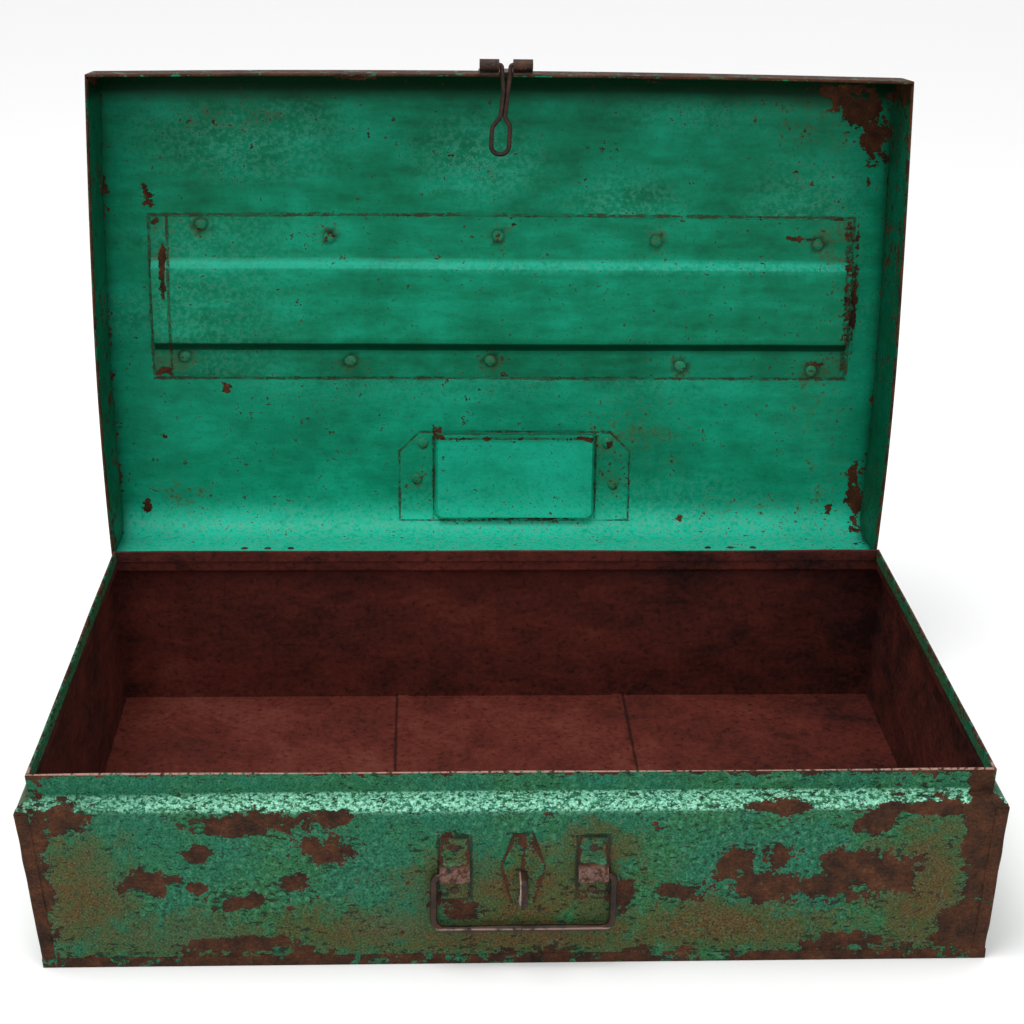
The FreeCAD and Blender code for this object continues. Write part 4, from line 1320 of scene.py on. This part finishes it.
def rivetGroup(name, body, material, seed):
    # one dome for each head of the frame's node, standing the same way
    meshes = []
    for k, points in enumerate(separateHeads(name)):
        spread = points - points.mean(axis=0)
        thin = np.linalg.svd(spread, full_matrices=False)[2][2]
        reach = spread @ thin
        height = reach.max() - reach.min()
        # the flat side holds more of the wide ring, so the dome points away from it
        wide = np.linalg.norm(spread - np.outer(reach, thin), axis=1)
        way = -thin if reach[np.argmax(wide)] > 0 else thin
        foot = (points.min(axis=0) + points.max(axis=0)) / 2 - way * height / 2
        meshes.append(rivet(foot, way, wide.max() * 0.99, height * 0.96, k + seed))
    points, faces, sides = together(*meshes)
    onLid = material is lidPaint
    if onLid:
        points = swingShut(points)
    marks = (("rust", lambda p: 0.36 + 0.30 * softNoise(p, 0.02, 99)), ("stain", lambda p: 0.6 + nothing(p)),
             ("pale", lambda p: 0.3 + nothing(p)))
    makePiece(name + "Heads", (points, faces, sides), (material,), body, name, marks,
              drawnShut=onLid)


rivetGroup("channel_rivets", "lid", lidPaint, 1)
rivetGroup("pocket_rivets", "lid", lidPaint, 2)
rivetGroup("hasp_rivets", "lid", iron, 3)
rivetGroup("hinge_lid_rivets", "lid", iron, 4)
rivetGroup("hinge_body_rivets", "trunk", iron, 5)
rivetGroup("bracket_rivets", "trunk", iron, 6)
print("rivets made")

# Fittings

wire = {
    "haspRadius": 0.0016,
    "ringEnd": 0.0552,
    "ringHalf": 0.0062,
    "bailRadius": 0.0022,
    "bailHalf": 0.0525,
    "bailDrop": 0.0359,
}


def handleBail():
    half, drop = wire["bailHalf"], wire["bailDrop"]
    low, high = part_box("handle_bail")
    inner = half - 0.021
    spots = [(-inner, 0, 0), (-half, 0, 0), (-half, 0, -drop), (half, 0, -drop), (half, 0, 0), (inner, 0, 0)]
    line = throughSpots(spots, (0.0032, 0.0072, 0.0072, 0.0032))
    line += np.array(((low.x + high.x) / 2, bailLine[1], bailLine[2]))
    line[:, 2] += 0.0003 * softNoise(line, 0.03, 101)

    def rubbed(points):
        # painted highlight: one bright line along the front of the bottom bar, just above its middle
        up = points[:, 2] - (bailLine[2] - drop)
        ahead = points[:, 1] < bailLine[1]
        return 0.8 * ahead * np.exp(-((up - 0.0008) / 0.00036) ** 2)

    mesh = tube(line, wire["bailRadius"] * 0.97, 24, 0.02, 102)
    makePiece("bailWire", mesh, (bailIron,), "bail", "handle_bail", (("fresh", rubbed),))


def haspLoop():
    # two halves of a bent wire: arms in the barrels, a long neck and a ring
    radius = wire["haspRadius"]
    ringEnd, ringHalf, neck = wire["ringEnd"], wire["ringHalf"], radius * 0.98
    meshes = []
    for side in (-1, 1):
        spots = [(side * 0.0172, 0, 0), (side * 0.0032, 0, 0), (side * neck, 0, -0.0165),
                 (side * neck, 0, -0.0355), (side * ringHalf, 0, -0.0425), (side * ringHalf, 0, -ringEnd)]
        arc = [(side * ringHalf * math.cos(t), 0, -ringEnd - ringHalf * math.sin(t))
               for t in np.linspace(0.1, math.pi / 2 + 0.02, 14)]
        line = np.concatenate([throughSpots(spots, (0.0016, 0.006, 0.004, 0.004)), arc])
        line[:, 0] -= 0.0035 * ease(-line[:, 2], 0.012, 0.055)
        meshes.append(tube(line + haspLine, radius * 0.99, 14, 0.03, 104 + side))
    makePiece("haspWire", together(*meshes), (haspIron,), "hasp", "hasp_loop")


bailIron = darkIron("rubbedIron", 0.12, 0.22)
haspIron = darkIron("blackIron", 0.2)
handleBail()
haspLoop()


def rolledBarrel(start, end, radius, bore, seamTurn):
    # a sheet rolled round into a barrel along X, leaving a fine seam
    x, y, z = np.hsplit(np.linspace(start, end, 12), 3)
    turns = seamTurn + np.linspace(0.12, 2 * math.pi - 0.12, 26)
    return slab(*(gridPoints(x, y + np.cos(turns) * size, z + np.sin(turns) * size).reshape(len(x), -1, 3)
                  for size in (radius, bore)))


def plateBlock(low, high, steps, trim=0.0):
    # a thin upright plate in X and Z with slightly dressed corners
    x = np.linspace(low[0], high[0], steps[0])[:, None]
    z = np.linspace(low[2], high[2], steps[1])
    px = 2 * (x - low[0]) / (high[0] - low[0]) - 1
    pz = 2 * (z - low[2]) / (high[2] - low[2]) - 1
    pull = trim * np.abs(px) ** 6 * np.abs(pz) ** 6
    return slab(*(gridPoints(x - np.sign(px) * pull, y, z - np.sign(pz) * pull).reshape(*steps, 3)
                  for y in (low[1], high[1])))


# the gap between a barrel and the wire or pin in it
boreSlack = 0.00008

hingeParts = {
    "barrel": 0.0029,
    "pin": 0.0015,
    "leaf": 0.0014,
    "tall": 0.026,
    "gap": 0.0015,
    "long": 0.050,
    "knuckle": 0.024,
}


def hingeLeaf(name, onLid):
    h = hingeParts
    low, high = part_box(name)
    middle, half = (low.x + high.x) / 2, h["long"] / 2
    lineY, lineZ = hingeLine[1], hingeLine[2]
    away = h["barrel"] + h["gap"]
    if onLid:
        plateY = (lid["back"], lid["back"] + h["leaf"])
        plateZ = (lineZ + away, lineZ + away + h["tall"])
        spans = ((-h["knuckle"] / 2, h["knuckle"] / 2),)
        webY = (lid["back"] + h["leaf"] * 0.5, lid["back"] + h["leaf"] * 1.4)
        webZ = (lineZ + 0.0012, plateZ[0] + 0.0008)
    else:
        plateY = (faceFront, faceFront + h["leaf"])
        plateZ = (lineZ - away - h["tall"], lineZ - away)
        inner = h["knuckle"] / 2 + 0.0005
        spans = ((-half, -inner), (inner, half))
        webY = (faceFront + h["leaf"], faceFront + 2 * h["leaf"])
        webZ = (plateZ[1] - 0.002, lineZ - 0.0014)
    meshes = [plateBlock((middle - half, plateY[0], plateZ[0]), (middle + half, plateY[1], plateZ[1]),
                         (26, 14), 0.0012)]
    for a, b in spans:
        start, end = middle + a, middle + b
        web = (start + 0.0002, webY[0], webZ[0]), (end - 0.0002, webY[1], webZ[1])
        meshes.append(plateBlock(*web, (12, 5)))
        meshes.append(rolledBarrel((start, lineY, lineZ), (end, lineY, lineZ), h["barrel"],
                                   h["pin"] + boreSlack, -2.6 if onLid else 2.6))
    points, faces, sides = together(*meshes)
    if onLid:
        points = swingOpen(points)
    makePiece(name + "Strap", (points, faces, sides), (iron,), "lid" if onLid else "trunk", name)


def hingePin(name):
    low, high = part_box(name)
    spots = np.linspace((low.x, hingeLine[1], hingeLine[2]), (high.x, hingeLine[1], hingeLine[2]), 40)
    makePiece(name + "Rod", tube(spots, hingeParts["pin"] * 0.99), (iron,), "trunk", name)


for sideName in ("left", "right"):
    hingeLeaf(f"hinge_lid_leaf_{sideName}", True)
    hingeLeaf(f"hinge_body_leaf_{sideName}", False)
    hingePin(f"hinge_pin_{sideName}")
print("hinges made")

leafSizes = {
    "outer": 0.0182,
    "inner": 0.0048,
    "thick": 0.0014,
    "tall": 0.040,
    "barrel": 0.004,
    "lineY": -0.1815,
    "lineZ": 0.1034,
}


def haspLeaf():
    k = leafSizes
    back, lineY, lineZ, barrel = lid["front"], k["lineY"], k["lineZ"], k["barrel"]
    front = back - k["thick"]
    outer, top, bore = k["outer"], lid["rim"] + k["tall"], wire["haspRadius"] + boreSlack
    meshes = [plateBlock((-outer, front, lid["rim"]), (outer, back, top), (22, 20), 0.002)]
    for a, b in ((-outer, -k["inner"]), (k["inner"], outer)):
        meshes.append(plateBlock((a, front, lineZ - barrel), (b, back, lid["rim"] + 0.0004), (10, 6)))
        webTop = lineZ + barrel
        meshes.append(plateBlock((a, lineY, webTop - 0.0014), (b, back - 0.0003, webTop), (10, 3)))
        meshes.append(rolledBarrel((a, lineY, lineZ), (b, lineY, lineZ), barrel, bore, 0.9))
    points, faces, sides = together(*meshes)
    makePiece("haspStrap", (swingOpen(points), faces, sides), (iron,), "lid", "hasp_leaf")


haspLeaf()

stapleSizes = {
    "middle": 0.0015,
    "thick": 0.0012,
    "foot": 0.042,
    "waist": 0.065,
    "head": 0.089,
    "halfFoot": 0.007,
    "halfWaist": 0.0136,
    "halfHead": 0.0066,
    "barFoot": 0.046,
    "barHead": 0.0645,
    "barOut": 0.0153,
    "barThick": 0.0025,
    "barWide": 0.005,
}


def staplePlate():
    # a leaf-shaped plate with an upright rib worked into its middle
    k = stapleSizes
    heights = np.linspace(k["foot"], k["head"], 46)
    halves = np.interp(heights, (k["foot"], k["waist"], k["head"]),
                       (k["halfFoot"], k["halfWaist"], k["halfHead"]))
    halves = halves - 0.0004 * (1 + softNoise(gridPoints(0, 0, heights), 0.009, 111))
    shares = np.linspace(-1, 1, 31)
    x = k["middle"] + halves[:, None] * shares
    rib = np.exp(-((x - k["middle"]) / 0.0019) ** 2)
    edge = 1 - ease(1 - np.abs(shares), 0.0, 0.14)
    thick = k["thick"] * (0.72 + 0.28 * rib - 0.2 * edge)
    mesh = slab(*(gridPoints(x, -faceFront - out, heights[:, None]).reshape(*x.shape, 3)
                  for out in (0, thick)))

    def wear(points):
        across = np.abs(points[:, 0] - k["middle"])
        side = across / np.interp(points[:, 2], heights, halves)
        head = ease(points[:, 2], k["head"] - 0.013, k["head"] - 0.003)
        rib = np.exp(-(across / 0.0021) ** 2)
        return 0.20 + 0.50 * ease(side, 0.72, 0.95) + 0.44 * rib + 0.35 * head

    marks = (("rust", wear), ("stain", lambda p: 0.62 + 0.3 * softNoise(p, 0.01, 115)))
    makePiece("staplePlateLeaf", mesh, (outerPaint,), "trunk", "staple_plate", marks)


def stapleBar():
    # a flat bar bent to a bow, its edges rounded by use
    k = stapleSizes
    mid = k["barThick"] / 2
    nearY, farY = faceFront + k["thick"] * 0.6, faceFront + k["barOut"] - mid
    spots = [(0, nearY, k["barFoot"] + mid), (0, farY, k["barFoot"] + mid), (0, farY, k["barHead"] - mid),
             (0, nearY, k["barHead"] - mid)]
    line = throughSpots(spots, (0.0028, 0.0028), 0.0007)
    ahead = np.gradient(line, axis=0)
    ahead /= np.linalg.norm(ahead, axis=1)[:, None]
    ring = []
    for turn in np.linspace(0, 2 * math.pi, 24, endpoint=False):
        c, s = math.cos(turn), math.sin(turn)
        ring.append((math.copysign(abs(c) ** 0.45, c), math.copysign(abs(s) ** 0.55, s)))
    dressed = 0.95 + 0.03 * softNoise(line, 0.006, 113)
    points = []
    for spot, way, size in zip(line, ahead, dressed):
        for across, up in ring:
            x = across * k["barWide"] / 2 * size
            out, height = spot[1:] + np.array((-way[2], way[1])) * up * mid * size
            points.append((k["middle"] + x, -out, height))

    # painted highlight along the bar's left edge
    def rubbed(points):
        return 0.9 * ease(k["middle"] - points[:, 0], 0.0013, 0.0021)

    makePiece("stapleBow", skinOver(points, len(ring)), (haspIron,), "trunk", "staple",
              (("fresh", rubbed),))


staplePlate()
stapleBar()

bracket = {
    "place": 0.0403,
    "middle": 0.0019,
    "wide": 0.0175,
    "up": 0.024,
    "down": 0.017,
    "thick": 0.0012,
    "out": 0.008,
    "hump": 0.0096,
}


def handleBracket(name, side):
    # a strap hammered over the bail's end: flat feet and a slanted hump with rounded shoulders
    k = bracket
    middle, half, lineZ = k["middle"] + side * k["place"], k["wide"] / 2, bailLine[2]
    out, up = bendPath([
        ((k["thick"], k["up"]), 0), ((k["thick"], k["hump"]), 0.004), ((k["out"], 0.0040), 0.0025),
        ((k["out"], -0.0040), 0.0034), ((k["thick"], -0.0042), 0.002), ((k["thick"], -k["down"]), 0),
    ], 0.0009).T
    x = np.linspace(-half, half, 23)[:, None]
    narrow = 1 - 0.10 * ease(up, 0.012, 0.024) - 0.12 * ease(-up, 0.008, 0.017)
    rounding = 0.0006 * (np.abs(x) / half) ** 6 * np.where(out > 0.002, 1, 0.2)
    outer = gridPoints(middle + x * narrow, -(faceFront + np.maximum(out - rounding, 0.0004)), lineZ + up)
    # the back is flat on the wall
    inner = outer.copy()
    inner[:, 1] = -faceFront
    mesh = slab(*(grid.reshape(len(x), -1, 3) for grid in (inner, outer)))

    def wear(points):
        hump = ease(-points[:, 1], faceFront + 0.002, faceFront + 0.006)
        edges = ease(np.abs(points[:, 0] - middle), half * 0.7, half * 0.95)
        return 0.32 + 0.38 * hump + 0.34 * edges

    # painted highlight on the lower face of the hump
    def handled(points):
        onHump = ease(-points[:, 1], faceFront + 0.0035, faceFront + 0.0065)
        return 0.85 * onHump * ease(points[:, 2] - lineZ, -0.0052, -0.0030)

    marks = (("rust", wear), ("stain", lambda p: 0.60 + 0.3 * softNoise(p, 0.01, 116)), ("fresh", handled))
    makePiece(name + "Strap", mesh, (outerPaint,), "trunk", name, marks)


for side, sideName in ((-1, "left"), (1, "right")):
    handleBracket(f"handle_bracket_{sideName}", side)
print("fittings made")

# Stage, light and view

room = {
    "floor": (0.93, 0.93, 0.93),
    "floorHalf": 14,
    "world": (1.0, 1.0, 1.0),
    "worldStrength": 0.98,
    "keyPower": 24.0,
    "keySize": 1.1,
    "fillPower": 2.0,
}


def paleFloor():
    shade = Shade("paleFloor")
    speck = shade.noise(30, 3, 0.5)
    colour = shade.ramp(speck, [(0.3, tuple(v * 0.985 for v in room["floor"])), (0.7, room["floor"])])
    shade.finish(colour, 0.75, speck, 0.00002)
    data = bpy.data.meshes.new("floor")
    half = room["floorHalf"]
    corners = [(-half, -half, 0), (half, -half, 0), (half, half, 0), (-half, half, 0)]
    data.from_pydata(corners, [], [(0, 1, 2, 3)])
    data.materials.append(shade.material)
    floor = bpy.data.objects.new("floor", data)
    bpy.context.scene.collection.objects.link(floor)


def areaLight(name, spot, aim, size, power):
    data = bpy.data.lights.new(name, "AREA")
    data.shape = "SQUARE"
    data.size = size
    data.energy = power
    light = bpy.data.objects.new(name, data)
    light.location = spot
    light.rotation_euler = (Vector(aim) - Vector(spot)).to_track_quat("-Z", "Y").to_euler()
    bpy.context.scene.collection.objects.link(light)


paleFloor()
areaLight("keyLight", (-0.5, -0.35, 2.1), (0, 0.1, 0.15), room["keySize"], room["keyPower"])
areaLight("frontFill", (0.9, -2.0, 1.0), (0, 0, 0.15), 1.6, room["fillPower"])

world = bpy.data.worlds.new("paleRoom")
bpy.context.scene.world = world
world.use_nodes = True
world.node_tree.nodes["Background"].inputs["Color"].default_value = (*room["world"], 1)
world.node_tree.nodes["Background"].inputs["Strength"].default_value = room["worldStrength"]

cameraPlace = {
    "spot": (-0.05434, -1.15750, 0.69196),
    "pitch": 22.18,
    "yaw": 2.66,
    "roll": 0.96,
    "lens": 69.56,
}


def addCamera():
    c = cameraPlace
    pitch, yaw, roll = (math.radians(c[k]) for k in ("pitch", "yaw", "roll"))
    ahead = Vector((math.sin(yaw) * math.cos(pitch), math.cos(yaw) * math.cos(pitch), -math.sin(pitch)))
    right = Vector((math.cos(yaw), -math.sin(yaw), 0))
    up = right.cross(ahead)
    rolledRight = math.cos(roll) * right + math.sin(roll) * up
    rolledUp = -math.sin(roll) * right + math.cos(roll) * up
    data = bpy.data.cameras.new("view")
    data.sensor_width = 36
    data.lens = c["lens"]
    data.clip_end = 50
    camera = bpy.data.objects.new("view", data)
    turn = Matrix((rolledRight, rolledUp, -ahead)).transposed().to_4x4()
    camera.matrix_world = Matrix.Translation(c["spot"]) @ turn
    bpy.context.scene.collection.objects.link(camera)
    bpy.context.scene.camera = camera


addCamera()
bpy.context.scene.view_settings.view_transform = "Standard"
print("stage and camera set")
